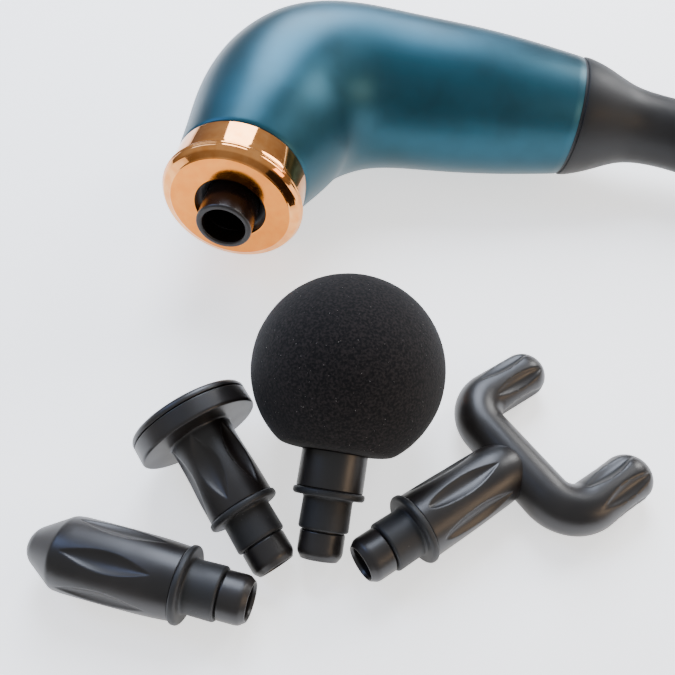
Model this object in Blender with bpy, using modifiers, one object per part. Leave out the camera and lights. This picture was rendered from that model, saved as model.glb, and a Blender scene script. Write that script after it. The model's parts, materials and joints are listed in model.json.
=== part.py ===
"""Long-handled massage gun lying on a table beside its four push-in heads.

Units are metres, +Z is up and the table is z = 0. The gun is designed in its own frame:
the origin is the centre of the front bezel's face, the plunger points along -Y, the barrel
runs along +X and the gun is symmetric about its XY plane. An empty lays that frame on the
table. Each head is designed in a frame whose origin is the centre of its flange, with +Z
towards the plug end, and an empty lays it down as well.
"""
import math

import bmesh
import bpy
from mathutils import Matrix, Vector

MM = 0.001

# ---- Body: ring end, elbow and barrel -------------------------------------------------
BODY_WALL = 2.2 * MM
RING_DEPTH = 16.0 * MM           # from the bezel's face to the coloured body
RING_RADIUS = 22.9 * MM          # body radius where it meets the ring band
BODY_INNER_X = 31.6 * MM         # inner side of the head tube at the elbow
BODY_OUTER_X = -24.1 * MM        # outer side of the head tube at the elbow
ELBOW_FILLET = 16.5 * MM         # radius of the inside corner
BARREL_NEAR_Y = 51.4 * MM        # near side of the barrel at the elbow
BARREL_START_RADIUS = 29.0 * MM
ELBOW_SWELL = 5.1 * MM           # how far the elbow's radius swells past its ends
BARREL_LENGTH = 67.8 * MM        # from the elbow to the joint with the grip
BARREL_END_RADIUS = 22.2 * MM
BARREL_TAPER_POWER = 1.8

# ---- Handle ---------------------------------------------------------------------------
JOINT_GAP = 1.1 * MM             # shadow gap that the gasket fills
GASKET_THICK = 0.5 * MM
GRIP_WALL = 2.4 * MM
CORE_WALL = 1.8 * MM
SHOULDER_LENGTH = 31.0 * MM
SHOULDER_START = 2.0 * MM        # straight length before the shoulder falls away
NECK_RADIUS = 12.6 * MM
NECK_LENGTH = 14.0 * MM
GRIP_RADIUS = 18.2 * MM
GRIP_SWELL_LENGTH = 80.0 * MM
GRIP_BACK_LENGTH = 28.0 * MM     # from the fullest point to the base cap
GRIP_END_RADIUS = 17.0 * MM
GRIP_BEND = math.radians(17.6)
BEND_START = 15.0 * MM
BEND_LENGTH = 45.0 * MM

# ---- Ring, bezel, plunger guide and plunger -------------------------------------------
BEZEL_DEPTH = 4.4 * MM
BEZEL_RADIUS = 23.9 * MM
BEZEL_FACE_RADIUS = 20.0 * MM
BEZEL_HOLE_RADIUS = 11.9 * MM
BAND_WALL = 1.7 * MM
SPIGOT_LENGTH = 6.0 * MM
PLUNGER_RADIUS = 9.15 * MM
SOCKET_RADIUS = 7.1 * MM
SOCKET_DEPTH = 20.0 * MM
PLUNGER_REACH = 9.0 * MM         # how far the rim stands out of the bezel at rest
GUIDE_WALL = 3.4 * MM
GUIDE_FRONT = 5.0 * MM
GUIDE_LENGTH = 24.0 * MM
DAMPER_LENGTH = 3.0 * MM

# ---- Crank drive ----------------------------------------------------------------------
CRANK_THROW = 5.0 * MM           # half the stroke
ROD_LENGTH = 34.0 * MM
ROD_THICK = 6.0 * MM
WRIST_Y = 34.0 * MM              # wrist pin behind the bezel's face at mid stroke
WRIST_PIN_RADIUS = 2.5 * MM
WRIST_PIN_LENGTH = 15.6 * MM
CRANK_BOLT_RADIUS = 2.5 * MM
BIG_BEARING_RADIUS = 6.5 * MM
BUSH_WALL = 1.0 * MM
ROD_RIM = 2.0 * MM
WHEEL_RADIUS = 11.0 * MM
WHEEL_THICK = 3.6 * MM
COUNTERWEIGHT_RADIUS = 16.0 * MM
COUNTERWEIGHT_THICK = 3.4 * MM
OPEN_PIVOT_GAP = 0.35 * MM       # the crank bolt stops this far short of the wheel

# ---- Motor ----------------------------------------------------------------------------
SHAFT_RADIUS = 2.0 * MM
BEARING_RADIUS = 5.0 * MM
BEARING_WIDTH = 2.6 * MM
BEARING_TUBE_RADIUS = 6.9 * MM
BRACKET_THICK = 2.0 * MM
EAR_THICK = 2.0 * MM             # the holder's ear, which the bracket is screwed to
EAR_CLEARANCE = 1.45 * MM        # from the plunger's side to the ear
STATOR_RADIUS = 11.6 * MM
STATOR_LENGTH = 9.0 * MM
STATOR_TEETH = 9
COIL_HEIGHT = 2.4 * MM
MAGNET_THICK = 1.0 * MM
AIR_GAP = 0.35 * MM
BELL_WALL = 1.3 * MM
BELL_FLOOR = 1.6 * MM
MOTOR_LENGTH = 20.5 * MM

# ---- Battery and electronics ----------------------------------------------------------
CELL_MARGIN = 1.0 * MM           # from the cells to the shell at their tighter end
CELL_GAP = 0.2 * MM              # between one cell and the next
CELL_LENGTH = 64.0 * MM
HOLDER_THICK = 2.2 * MM
BOARD_THICK = 1.6 * MM
BOARD_LENGTH = 24.0 * MM
BOARD_WIDTH = 22.0 * MM
BOARD_X = -11.5 * MM
CHIP_SIDE = 6.0 * MM
CHIP_THICK = 1.2 * MM

# ---- Base cap -------------------------------------------------------------------------
CAP_LENGTH = 13.0 * MM
CAP_WALL = 2.2 * MM
CAP_EDGE = 4.0 * MM
BUTTON_RADIUS = 5.0 * MM
BUTTON_PROUD = 0.8 * MM
BUTTON_TRAVEL = 0.6 * MM
BUTTON_THICK = 3.0 * MM
LIGHT_INNER = 7.0 * MM
LIGHT_OUTER = 8.4 * MM
SOCKET_WIDTH = 9.4 * MM
SOCKET_HEIGHT = 3.8 * MM
CHARGER_DEPTH = 5.5 * MM

# ---- Heads ----------------------------------------------------------------------------
FLANGE_RADIUS = 9.9 * MM
FLANGE_THICK = 2.0 * MM
SLEEVE_RADIUS = 6.85 * MM
SLEEVE_LENGTH = 9.7 * MM         # from the flange's middle to the step
TIP_RADIUS = 6.2 * MM
TIP_LENGTH = 7.7 * MM
TIP_CHAMFER = 1.5 * MM
TIP_BORE_RADIUS = 4.3 * MM
TIP_BORE_DEPTH = 15.0 * MM
STEM_RADIUS = 5.2 * MM
SHANK_RADIUS = 9.2 * MM
BALL_RADIUS = 27.5 * MM
BALL_DISTANCE = 34.5 * MM        # flange to the centre of the ball
BALL_COLLAR = 10.8 * MM
BALL_SPIKE = 14.0 * MM           # the stem's length inside the foam
DISC_RADIUS = 17.4 * MM
DISC_DISTANCE = 24.4 * MM        # flange to the back of the disc
DISC_THICK = 5.2 * MM
PAD_THICK = 2.2 * MM
PAD_EDGE = 1.6 * MM              # rounding of the pad's front edge
DISC_FILLET = 0.6 * MM
BULLET_BODY = 33.5 * MM
BULLET_RADIUS = 9.8 * MM
BULLET_LENGTH = 44.0 * MM
BULLET_NOSE = 5.2 * MM
FORK_DISTANCE = 37.0 * MM        # flange to the crossbar
FORK_HALF_SPAN = 21.5 * MM
FORK_TUBE = 7.1 * MM
FORK_SHANK_END = 8.1 * MM        # the shank narrows to this at the crossbar
FORK_TINE = 23.5 * MM
FORK_BEND = 9.0 * MM

# Where each head's flange lies from the bezel's face, and which way its plug end points.
BALL_PLACE = (46.7 * MM, -85.5 * MM)
BALL_HEADING = math.radians(-91.2)
FLAT_PLACE = (24.4 * MM, -92.6 * MM)
FLAT_HEADING = math.radians(-47.3)
FORK_PLACE = (70.6 * MM, -90.7 * MM)
FORK_HEADING = math.radians(-137.5)
BULLET_PLACE = (14.4 * MM, -114.1 * MM)
BULLET_HEADING = math.radians(-5.7)

# ---- Fits and mesh steps --------------------------------------------------------------
SEAT = 0.3 * MM                  # gap left between two pieces that touch
RUNNING = 0.25 * MM              # radial gap of a running fit
FACET = 0.5 * MM                 # gap between two faceted shells, one inside the other
SLOPE = 0.6 * MM                 # extra inset where a shell slopes, as at the shoulder
ROUND = 20                       # segments of a large turned piece
HEAD_ROUND = 18                  # segments of a head
FORK_ROUND = 12                  # segments round the fork's bent tube
SMALL_ROUND = 12                 # segments of a small turned piece
CAGE = 12                        # points round a body section before smoothing
CAGE_SHRINK = (4.0 + 2.0 * math.cos(2.0 * math.pi / CAGE)) / 6.0

# ---- Places worked out from the sizes above -------------------------------------------
FILLET_X = BODY_INNER_X + ELBOW_FILLET
FILLET_Y = BARREL_NEAR_Y - ELBOW_FILLET
HEAD_TUBE_RADIUS = (BODY_INNER_X - BODY_OUTER_X) / 2.0
BARREL_Y = BARREL_NEAR_Y + BARREL_START_RADIUS
BARREL_END_X = FILLET_X + BARREL_LENGTH
ELBOW_RADIUS = (HEAD_TUBE_RADIUS + BARREL_START_RADIUS) / 2.0 + ELBOW_SWELL
CRANK_Y = WRIST_Y + math.sqrt(ROD_LENGTH ** 2 - CRANK_THROW ** 2)
ROD_LEAN = math.asin(CRANK_THROW / ROD_LENGTH)
BRACKET_X = PLUNGER_RADIUS + EAR_CLEARANCE + EAR_THICK + SEAT
WHEEL_FACE_X = BRACKET_X - 2.0 * SEAT - COUNTERWEIGHT_THICK - SEAT - WHEEL_THICK
MOTOR_X = BRACKET_X + BRACKET_THICK + SEAT
CELLS_X = MOTOR_X + MOTOR_LENGTH + HOLDER_THICK + 3.0 * SEAT
GRIP_START_X = BARREL_END_X + JOINT_GAP
GRIP_LENGTH = SHOULDER_LENGTH + NECK_LENGTH + GRIP_SWELL_LENGTH + GRIP_BACK_LENGTH

TO_PLUNGER = (math.radians(90.0), 0.0, 0.0)      # turns a piece's +Z to the gun's -Y
TO_MOTOR = (0.0, math.radians(90.0), 0.0)        # turns a piece's +Z to the gun's +X


# ---- Scene helpers --------------------------------------------------------------------
def clear_scene():
    for item in list(bpy.data.objects):
        bpy.data.objects.remove(item, do_unlink=True)


def new_collection(name):
    collection = bpy.data.collections.new(name)
    bpy.context.scene.collection.children.link(collection)
    return collection


def new_material(name, colour, roughness, metallic=0.0):
    material = bpy.data.materials.new(name)
    material.use_nodes = True
    shader = material.node_tree.nodes["Principled BSDF"]
    shader.inputs["Base Color"].default_value = (*colour, 1.0)
    shader.inputs["Roughness"].default_value = roughness
    shader.inputs["Metallic"].default_value = metallic
    return material


def place(item, parent, location=(0.0, 0.0, 0.0), rotation=(0.0, 0.0, 0.0)):
    item.parent = parent
    item.location = location
    item.rotation_euler = rotation
    return item


def new_empty(name, parent=None, location=(0.0, 0.0, 0.0), rotation=(0.0, 0.0, 0.0)):
    empty = bpy.data.objects.new(name, None)
    PARTS.objects.link(empty)
    return place(empty, parent, location, rotation)


def new_part(name, data, material, parent, location=(0.0, 0.0, 0.0), rotation=(0.0, 0.0, 0.0)):
    item = bpy.data.objects.new(name, data)
    PARTS.objects.link(item)
    item.data.materials.clear()
    item.data.materials.append(material)
    return place(item, parent, location, rotation)


def mesh_from(name, bm, smooth=True):
    mesh = bpy.data.meshes.new(name)
    bm.to_mesh(mesh)
    bm.free()
    if smooth:
        mesh.shade_smooth()
        mesh.set_sharp_from_angle(angle=math.radians(35.0))
    return mesh


# ---- Shape helpers --------------------------------------------------------------------
def profile_mesh(name, points, closed):
    """An edge chain in the XZ plane; points are (radius, height) down the outer side."""
    bm = bmesh.new()
    verts = [bm.verts.new((radius, 0.0, height)) for radius, height in points]
    for first, second in zip(verts, verts[1:]):
        bm.edges.new((first, second))
    if closed:
        bm.edges.new((verts[-1], verts[0]))
    return mesh_from(name, bm, smooth=False)


def turned(name, points, material, parent, location=(0.0, 0.0, 0.0), rotation=(0.0, 0.0, 0.0),
           steps=ROUND):
    """A turned piece. A profile that leaves the axis free closes into a ring."""
    closed = points[0][0] > 0.0 and points[-1][0] > 0.0
    item = new_part(name, profile_mesh(name, points, closed), material, parent, location, rotation)
    screw = item.modifiers.new("Turn", 'SCREW')
    screw.axis = 'Z'
    screw.angle = math.tau
    screw.steps = steps
    screw.render_steps = steps
    screw.use_merge_vertices = True
    screw.merge_threshold = 0.00001
    screw.use_smooth_shade = True
    return item


def ring_points(outer, inner, top, bottom, edge=0.0):
    """Profile of a plain ring, with its outer edges broken by edge."""
    if edge <= 0.0:
        return [(outer, top), (outer, bottom), (inner, bottom), (inner, top)]
    return [(outer - edge, top), (outer, top - edge), (outer, bottom + edge),
            (outer - edge, bottom), (inner, bottom), (inner, top)]


def pin_points(radius, top, bottom, edge):
    """Profile of a solid pin with broken edges."""
    return [(0.0, top), (radius - edge, top), (radius, top - edge),
            (radius, bottom + edge), (radius - edge, bottom), (0.0, bottom)]


def arc(centre, radius, start, end, count):
    """Points on an arc in the profile plane; angles in degrees from the radius axis."""
    points = []
    for step in range(count + 1):
        angle = math.radians(start + (end - start) * step / count)
        points.append((centre[0] + radius * math.cos(angle), centre[1] + radius * math.sin(angle)))
    return points


def block(name, size, material, parent, location=(0.0, 0.0, 0.0), rotation=(0.0, 0.0, 0.0),
          edge=0.0):
    bm = bmesh.new()
    bmesh.ops.create_cube(bm, size=1.0)
    bmesh.ops.scale(bm, vec=size, verts=bm.verts)
    item = new_part(name, mesh_from(name, bm, smooth=False), material, parent, location, rotation)
    if edge > 0.0:
        bevel = item.modifiers.new("Edges", 'BEVEL')
        bevel.width = edge
        bevel.segments = 2
    return item


def hide_cutter(item):
    for collection in list(item.users_collection):
        collection.objects.unlink(item)
    CUTTERS.objects.link(item)
    item.hide_render = True
    item.display_type = 'WIRE'


def cut(target, cutter, operation='DIFFERENCE'):
    hide_cutter(cutter)
    boolean = target.modifiers.new("Cut", 'BOOLEAN')
    boolean.operation = operation
    boolean.solver = 'EXACT'
    boolean.object = cutter


def drill(target, radius, length, parent, location, rotation=(0.0, 0.0, 0.0), steps=SMALL_ROUND):
    """Cuts a round hole of a given length, centred on location, along the turned +Z."""
    points = [(0.0, length / 2.0), (radius, length / 2.0),
              (radius, -length / 2.0), (0.0, -length / 2.0)]
    cutter = turned("cut_" + target.name, points, STEEL, parent, location, rotation, steps)
    cut(target, cutter)


def outline(name, loops, thickness, material, parent, location=(0.0, 0.0, 0.0),
            rotation=(0.0, 0.0, 0.0)):
    """A flat plate: filled 2D loops, the first outside and the rest holes."""
    curve = bpy.data.curves.new(name, 'CURVE')
    curve.dimensions = '2D'
    curve.fill_mode = 'BOTH'
    curve.extrude = thickness / 2.0
    for loop in loops:
        spline = curve.splines.new('POLY')
        spline.points.add(len(loop) - 1)
        for point, (x, y) in zip(spline.points, loop):
            point.co = (x, y, 0.0, 1.0)
        spline.use_cyclic_u = True
    return new_part(name, curve, material, parent, location, rotation)


def circle_loop(radius, count, centre=(0.0, 0.0)):
    return [(centre[0] + radius * math.cos(math.tau * step / count),
             centre[1] + radius * math.sin(math.tau * step / count)) for step in range(count)]


def screw_part(name, head_radius, head_height, shank_radius, length, parent, location,
               rotation=(0.0, 0.0, 0.0)):
    """A pan-head screw: the head's top faces +Z and the shank runs down from z = 0."""
    points = [(0.0, head_height), (head_radius * 0.8, head_height), (head_radius, head_height * 0.6),
              (head_radius, 0.0), (shank_radius, 0.0), (shank_radius, -length), (0.0, -length)]
    return turned(name, points, STEEL, parent, location, rotation, steps=12)


# ---- Swept shells ---------------------------------------------------------------------
def section(centre, heading, radius, count):
    """One ring square to a heading; heading 0 is along +Y and 90 degrees along +X."""
    side = Vector((math.cos(heading), -math.sin(heading), 0.0))
    ring = []
    for step in range(count):
        angle = math.tau * step / count
        offset = side * (radius * math.cos(angle)) + Vector((0.0, 0.0, radius * math.sin(angle)))
        ring.append(Vector((centre[0], centre[1], 0.0)) + offset)
    return ring


def swept_shell(name, sections, wall, material, parent, smooth=True):
    """An open tube through the sections, with its wall on the inside.

    Smoothing draws the cage in, so a smoothed tube starts from wider rings."""
    count = CAGE if smooth else ROUND
    swell = 1.0 / CAGE_SHRINK if smooth else 1.0
    bm = bmesh.new()
    rings = []
    for centre, heading, radius in sections:
        rings.append([bm.verts.new(point) for point in section(centre, heading, radius * swell, count)])
    for near, far in zip(rings, rings[1:]):
        for step in range(count):
            after = (step + 1) % count
            bm.faces.new((near[step], far[step], far[after], near[after]))
    item = new_part(name, mesh_from(name, bm), material, parent)
    if smooth:
        subdivision = item.modifiers.new("Smooth", 'SUBSURF')
        subdivision.levels = 1
        subdivision.render_levels = 1
    solidify = item.modifiers.new("Wall", 'SOLIDIFY')
    solidify.thickness = wall
    solidify.offset = -1.0
    solidify.use_even_offset = True
    return item


def barrel_radius(x):
    share = min(max((x - FILLET_X) / BARREL_LENGTH, 0.0), 1.0)
    return BARREL_START_RADIUS + (BARREL_END_RADIUS - BARREL_START_RADIUS) * share ** BARREL_TAPER_POWER


def body_sections():
    """Head tube, elbow fan round the inside fillet, then the tapering barrel."""
    sections = []
    head_x = (BODY_INNER_X + BODY_OUTER_X) / 2.0
    for share in (0.0, 0.5):
        y = RING_DEPTH + SEAT + (FILLET_Y - RING_DEPTH - SEAT) * share
        radius = RING_RADIUS + (HEAD_TUBE_RADIUS - RING_RADIUS) * share
        sections.append(((head_x * share, y), 0.0, radius))
    for degrees in (0, 22, 45, 68, 90):
        turn = math.radians(degrees)
        share = degrees / 90.0
        radius = HEAD_TUBE_RADIUS + (BARREL_START_RADIUS - HEAD_TUBE_RADIUS) * share
        radius += ELBOW_SWELL * math.sin(2.0 * turn) ** 1.5 if 0 < degrees < 90 else 0.0
        reach = ELBOW_FILLET + radius
        centre = (FILLET_X - reach * math.cos(turn), FILLET_Y + reach * math.sin(turn))
        sections.append((centre, turn, radius))
    for share in (0.35, 0.7, 1.0):
        x = FILLET_X + BARREL_LENGTH * share
        sections.append(((x, BARREL_Y), math.radians(90.0), barrel_radius(x)))
    return sections


def smooth_step(value):
    value = min(max(value, 0.0), 1.0)
    return value * value * (3.0 - 2.0 * value)


def grip_radius(distance):
    """Outer radius of the handle at a distance from its joint with the barrel."""
    neck_end = SHOULDER_LENGTH + NECK_LENGTH
    fullest = neck_end + GRIP_SWELL_LENGTH
    if distance < SHOULDER_LENGTH:
        share = max(distance - SHOULDER_START, 0.0) / (SHOULDER_LENGTH - SHOULDER_START)
        fall = smooth_step(share ** 0.85)
        return BARREL_END_RADIUS + (NECK_RADIUS - BARREL_END_RADIUS) * fall
    if distance < fullest:
        swell = smooth_step((distance - neck_end) / GRIP_SWELL_LENGTH)
        return NECK_RADIUS + (GRIP_RADIUS - NECK_RADIUS) * swell
    return GRIP_RADIUS + (GRIP_END_RADIUS - GRIP_RADIUS) * ((distance - fullest) / GRIP_BACK_LENGTH) ** 2


def grip_heading(distance):
    return math.radians(90.0) + GRIP_BEND * smooth_step((distance - BEND_START) / BEND_LENGTH)


def grip_centre(distance):
    """Walks the handle's centre line in short steps from the joint."""
    x, y = GRIP_START_X, BARREL_Y
    steps = 60
    for step in range(steps):
        heading = grip_heading(distance * (step + 0.5) / steps)
        x += distance / steps * math.sin(heading)
        y += distance / steps * math.cos(heading)
    return x, y


def grip_sections(inset):
    """Sections of the handle: close together round the shoulder, wider apart along the grip."""
    shoulder = [0.0, SHOULDER_START]
    shoulder += [SHOULDER_LENGTH * share for share in (0.3, 0.55, 0.8)]
    neck_end = SHOULDER_LENGTH + NECK_LENGTH
    rest = GRIP_LENGTH - neck_end
    grip = [neck_end + rest * share for share in (-0.05, 0.18, 0.42, 0.66, 0.85, 1.0)]
    return [(grip_centre(distance), grip_heading(distance), grip_radius(distance) - inset)
            for distance in shoulder + grip]


# ---- The gun's shell, ring and handle --------------------------------------------------
def build_body(gun):
    swept_shell("body_shell", body_sections(), BODY_WALL, TEAL, gun)

    band_front = -BEZEL_DEPTH - SEAT
    spigot = RING_RADIUS - BODY_WALL - FACET
    band = [(RING_RADIUS - 0.3 * MM, band_front), (RING_RADIUS, band_front - 0.3 * MM),
            (RING_RADIUS, -RING_DEPTH), (spigot, -RING_DEPTH),
            (spigot, -RING_DEPTH - SPIGOT_LENGTH), (spigot - BAND_WALL, -RING_DEPTH - SPIGOT_LENGTH),
            (spigot - BAND_WALL, band_front)]
    turned("ring_band", band, ROSE, gun, rotation=TO_PLUNGER)

    lip = spigot - BAND_WALL - SEAT
    bezel = [(BEZEL_FACE_RADIUS, 0.0), (BEZEL_FACE_RADIUS + 1.6 * MM, -0.5 * MM),
             (BEZEL_RADIUS - 0.5 * MM, -1.9 * MM), (BEZEL_RADIUS, -3.0 * MM),
             (BEZEL_RADIUS, -BEZEL_DEPTH), (lip, -BEZEL_DEPTH), (lip, -BEZEL_DEPTH - 2.5 * MM),
             (lip - 1.6 * MM, -BEZEL_DEPTH - 2.5 * MM), (lip - 1.6 * MM, -2.6 * MM),
             (BEZEL_HOLE_RADIUS, -2.6 * MM), (BEZEL_HOLE_RADIUS, 0.0)]
    turned("front_bezel", bezel, ROSE, gun, rotation=TO_PLUNGER, steps=24)

    gasket_x = BARREL_END_X + (JOINT_GAP - GASKET_THICK) / 2.0
    turned("joint_gasket", ring_points(BARREL_END_RADIUS - 0.5 * MM, BARREL_END_RADIUS - 2.4 * MM,
                                       GASKET_THICK, 0.0),
           RUBBER, gun, (gasket_x, BARREL_Y, 0.0), TO_MOTOR)


def build_handle(gun):
    swept_shell("grip_sleeve", grip_sections(0.0), GRIP_WALL, GRIP, gun)
    swept_shell("handle_core", grip_sections(GRIP_WALL + FACET + SLOPE), CORE_WALL, DARK_PLASTIC, gun,
                smooth=False)

    collar_outer = barrel_radius(BARREL_END_X - 4.0 * MM) - BODY_WALL - 2.0 * FACET
    collar = ring_points(BARREL_END_RADIUS - BODY_WALL - FACET, collar_outer - 4.0 * MM,
                         -SEAT, -3.6 * MM, 0.4 * MM)
    turned("joint_collar", collar, DARK_PLASTIC, gun, (BARREL_END_X, BARREL_Y, 0.0), TO_MOTOR)


def build_base_cap(gun):
    end = grip_centre(GRIP_LENGTH)
    heading = grip_heading(GRIP_LENGTH)
    base = new_empty("base_frame", gun, (end[0], end[1], 0.0), (0.0, math.radians(90.0), 0.0))
    base.rotation_mode = 'QUATERNION'
    along = Vector((math.sin(heading), math.cos(heading), 0.0))
    base.rotation_quaternion = along.to_track_quat('Z', 'Y')

    outer = GRIP_END_RADIUS
    hole = BUTTON_RADIUS + RUNNING
    plug = outer - GRIP_WALL - 2.0 * FACET - SLOPE - CORE_WALL
    face = CAP_LENGTH
    cap = [(outer - CAP_EDGE, face)]
    cap += arc((outer - CAP_EDGE, face - CAP_EDGE), CAP_EDGE, 75, 0, 5)
    cap += [(outer, SEAT), (plug, SEAT), (plug, -5.0 * MM), (plug - 1.6 * MM, -5.0 * MM),
            (plug - 1.6 * MM, face - CAP_WALL - 1.0 * MM), (plug - 3.0 * MM, face - CAP_WALL),
            (hole, face - CAP_WALL), (hole, face)]
    cap_item = turned("base_cap", cap, DARK_PLASTIC, base, steps=ROUND)
    groove = ring_points(LIGHT_OUTER, LIGHT_INNER, face + 1.0 * MM, face - 0.9 * MM)
    cut(cap_item, turned("cut_light_groove", groove, STEEL, base, steps=ROUND))
    light = ring_points(LIGHT_OUTER - RUNNING, LIGHT_INNER + RUNNING, face + 0.1 * MM, face - 0.6 * MM)
    turned("light_ring", light, LENS, base, steps=ROUND)

    button_top = face + BUTTON_PROUD
    button = [(0.0, button_top), (BUTTON_RADIUS - 0.8 * MM, button_top),
              (BUTTON_RADIUS, button_top - 0.7 * MM), (BUTTON_RADIUS, button_top - BUTTON_THICK),
              (0.0, button_top - BUTTON_THICK)]
    turned("power_button", button, BUTTON, base, steps=24)
    switch_top = button_top - BUTTON_THICK - BUTTON_TRAVEL - SEAT
    switch = pin_points(1.8 * MM, switch_top, switch_top - 1.4 * MM, 0.2 * MM)
    turned("button_switch", switch, STEEL, base, steps=16)
    board_top = switch_top - 1.4 * MM - SEAT
    board = pin_points(plug - 2.2 * MM, board_top, board_top - BOARD_THICK, 0.1 * MM)
    turned("button_board", board, BOARD, base, steps=24)

    socket_z = face - CAP_EDGE - SOCKET_HEIGHT / 2.0 - 0.6 * MM
    socket_x = outer - CHARGER_DEPTH / 2.0 - 0.5 * MM
    pocket = block("cut_socket_pocket", (CHARGER_DEPTH + 4.0 * MM, SOCKET_WIDTH + 2.0 * SEAT,
                                         SOCKET_HEIGHT + 2.0 * SEAT),
                   STEEL, base, (socket_x + 1.0 * MM, 0.0, socket_z))
    cut(cap_item, pocket)
    socket = block("charge_socket", (CHARGER_DEPTH, SOCKET_WIDTH, SOCKET_HEIGHT), STEEL, base,
                   (socket_x, 0.0, socket_z))
    mouth = block("cut_socket_mouth", (CHARGER_DEPTH, SOCKET_WIDTH - 1.2 * MM, SOCKET_HEIGHT - 1.2 * MM),
                  STEEL, base, (socket_x + 1.0 * MM, 0.0, socket_z))
    cut(socket, mouth)
    for number, degrees in enumerate((90.0, 210.0, 330.0), start=1):
        spread = math.radians(degrees)
        spot = (10.8 * MM * math.cos(spread), 10.8 * MM * math.sin(spread), face)
        recess = turned("cut_cap_screw", pin_points(1.5 * MM, 1.0 * MM, -1.3 * MM, 0.1 * MM),
                        STEEL, base, spot, steps=12)
        cut(cap_item, recess)
        screw_points = [(0.0, -0.4 * MM), (1.1 * MM, -0.4 * MM), (1.1 * MM, -1.0 * MM), (0.0, -1.0 * MM)]
        turned("cap_screw_%d" % number, screw_points, STEEL, base, spot, steps=12)
    return base


# ---- The crank drive -------------------------------------------------------------------
def build_plunger(gun):
    slider = new_empty("plunger_frame", gun)
    rim = PLUNGER_REACH
    back = -WRIST_Y - 7.0 * MM
    points = [(SOCKET_RADIUS + 0.5 * MM, rim), (PLUNGER_RADIUS - 0.7 * MM, rim),
              (PLUNGER_RADIUS, rim - 0.7 * MM), (PLUNGER_RADIUS, back + 0.5 * MM),
              (PLUNGER_RADIUS - 0.5 * MM, back), (0.0, back)]
    socket = [(0.0, rim - SOCKET_DEPTH), (SOCKET_RADIUS, rim - SOCKET_DEPTH),
              (SOCKET_RADIUS, rim - 0.5 * MM)]
    plunger = turned("plunger", socket + points, BLACK, slider, rotation=TO_PLUNGER)
    slot_floor = WRIST_Y - WRIST_PIN_RADIUS - BUSH_WALL - RUNNING - SEAT - ROD_RIM - 1.2 * MM
    slot_length = 30.0 * MM
    slot = block("cut_plunger_slot", (ROD_THICK + 1.6 * MM, slot_length, 4.0 * PLUNGER_RADIUS), STEEL,
                 slider, (0.0, slot_floor + slot_length / 2.0, 0.0))
    cut(plunger, slot)
    drill(plunger, WRIST_PIN_RADIUS + RUNNING, 4.0 * PLUNGER_RADIUS, slider, (0.0, WRIST_Y, 0.0), TO_MOTOR)
    half = WRIST_PIN_LENGTH / 2.0
    turned("wrist_pin", pin_points(WRIST_PIN_RADIUS, half, -half, 0.4 * MM), STEEL, slider,
           (0.0, WRIST_Y, 0.0), TO_MOTOR, SMALL_ROUND)
    return slider


def build_con_rod(slider):
    """The rod's own frame sits on the wrist pin, with its +Y along the rod."""
    swing = new_empty("con_rod_frame", slider, (0.0, WRIST_Y, 0.0), (ROD_LEAN, 0.0, 0.0))
    small_hole = WRIST_PIN_RADIUS + RUNNING + BUSH_WALL + SEAT
    big_hole = BIG_BEARING_RADIUS + SEAT
    small_end = small_hole + ROD_RIM
    big_end = big_hole + ROD_RIM
    count = 12
    waist = 3.2 * MM
    rod = []
    open_big = math.asin(waist / big_end)
    for step in range(2 * count + 1):
        angle = -math.pi + open_big + (math.tau - 2.0 * open_big) * step / (2 * count)
        rod.append((ROD_LENGTH + big_end * math.cos(angle), big_end * math.sin(angle)))
    open_small = math.asin(waist / small_end)
    for step in range(2 * count + 1):
        angle = open_small + (math.tau - 2.0 * open_small) * step / (2 * count)
        rod.append((small_end * math.cos(angle), small_end * math.sin(angle)))
    loops = [rod, circle_loop(small_hole, SMALL_ROUND),
             circle_loop(big_hole, SMALL_ROUND + 4, (ROD_LENGTH, 0.0))]
    turn = Matrix(((0.0, 0.0, 1.0), (1.0, 0.0, 0.0), (0.0, 1.0, 0.0))).to_euler()
    outline("con_rod", loops, ROD_THICK, STEEL, swing, rotation=turn)
    half = ROD_THICK / 2.0
    turned("small_end_bush", ring_points(small_hole - SEAT, WRIST_PIN_RADIUS + RUNNING, half, -half),
           BRASS, swing, rotation=TO_MOTOR, steps=SMALL_ROUND)
    pin_place = (0.0, ROD_LENGTH, 0.0)
    turned("big_end_bearing", ring_points(BIG_BEARING_RADIUS, CRANK_BOLT_RADIUS + RUNNING, half - 0.3 * MM,
                                          -half + 0.3 * MM, 0.3 * MM),
           STEEL, swing, pin_place, TO_MOTOR, SMALL_ROUND + 4)
    head = half + SEAT
    bolt = [(0.0, WHEEL_FACE_X - OPEN_PIVOT_GAP), (CRANK_BOLT_RADIUS, WHEEL_FACE_X - OPEN_PIVOT_GAP),
            (CRANK_BOLT_RADIUS, -head), (CRANK_BOLT_RADIUS + 1.7 * MM, -head),
            (CRANK_BOLT_RADIUS + 1.7 * MM, -head - 2.0 * MM), (0.0, -head - 2.0 * MM)]
    turned("crank_bolt", bolt, STEEL, swing, pin_place, TO_MOTOR, SMALL_ROUND)


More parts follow.
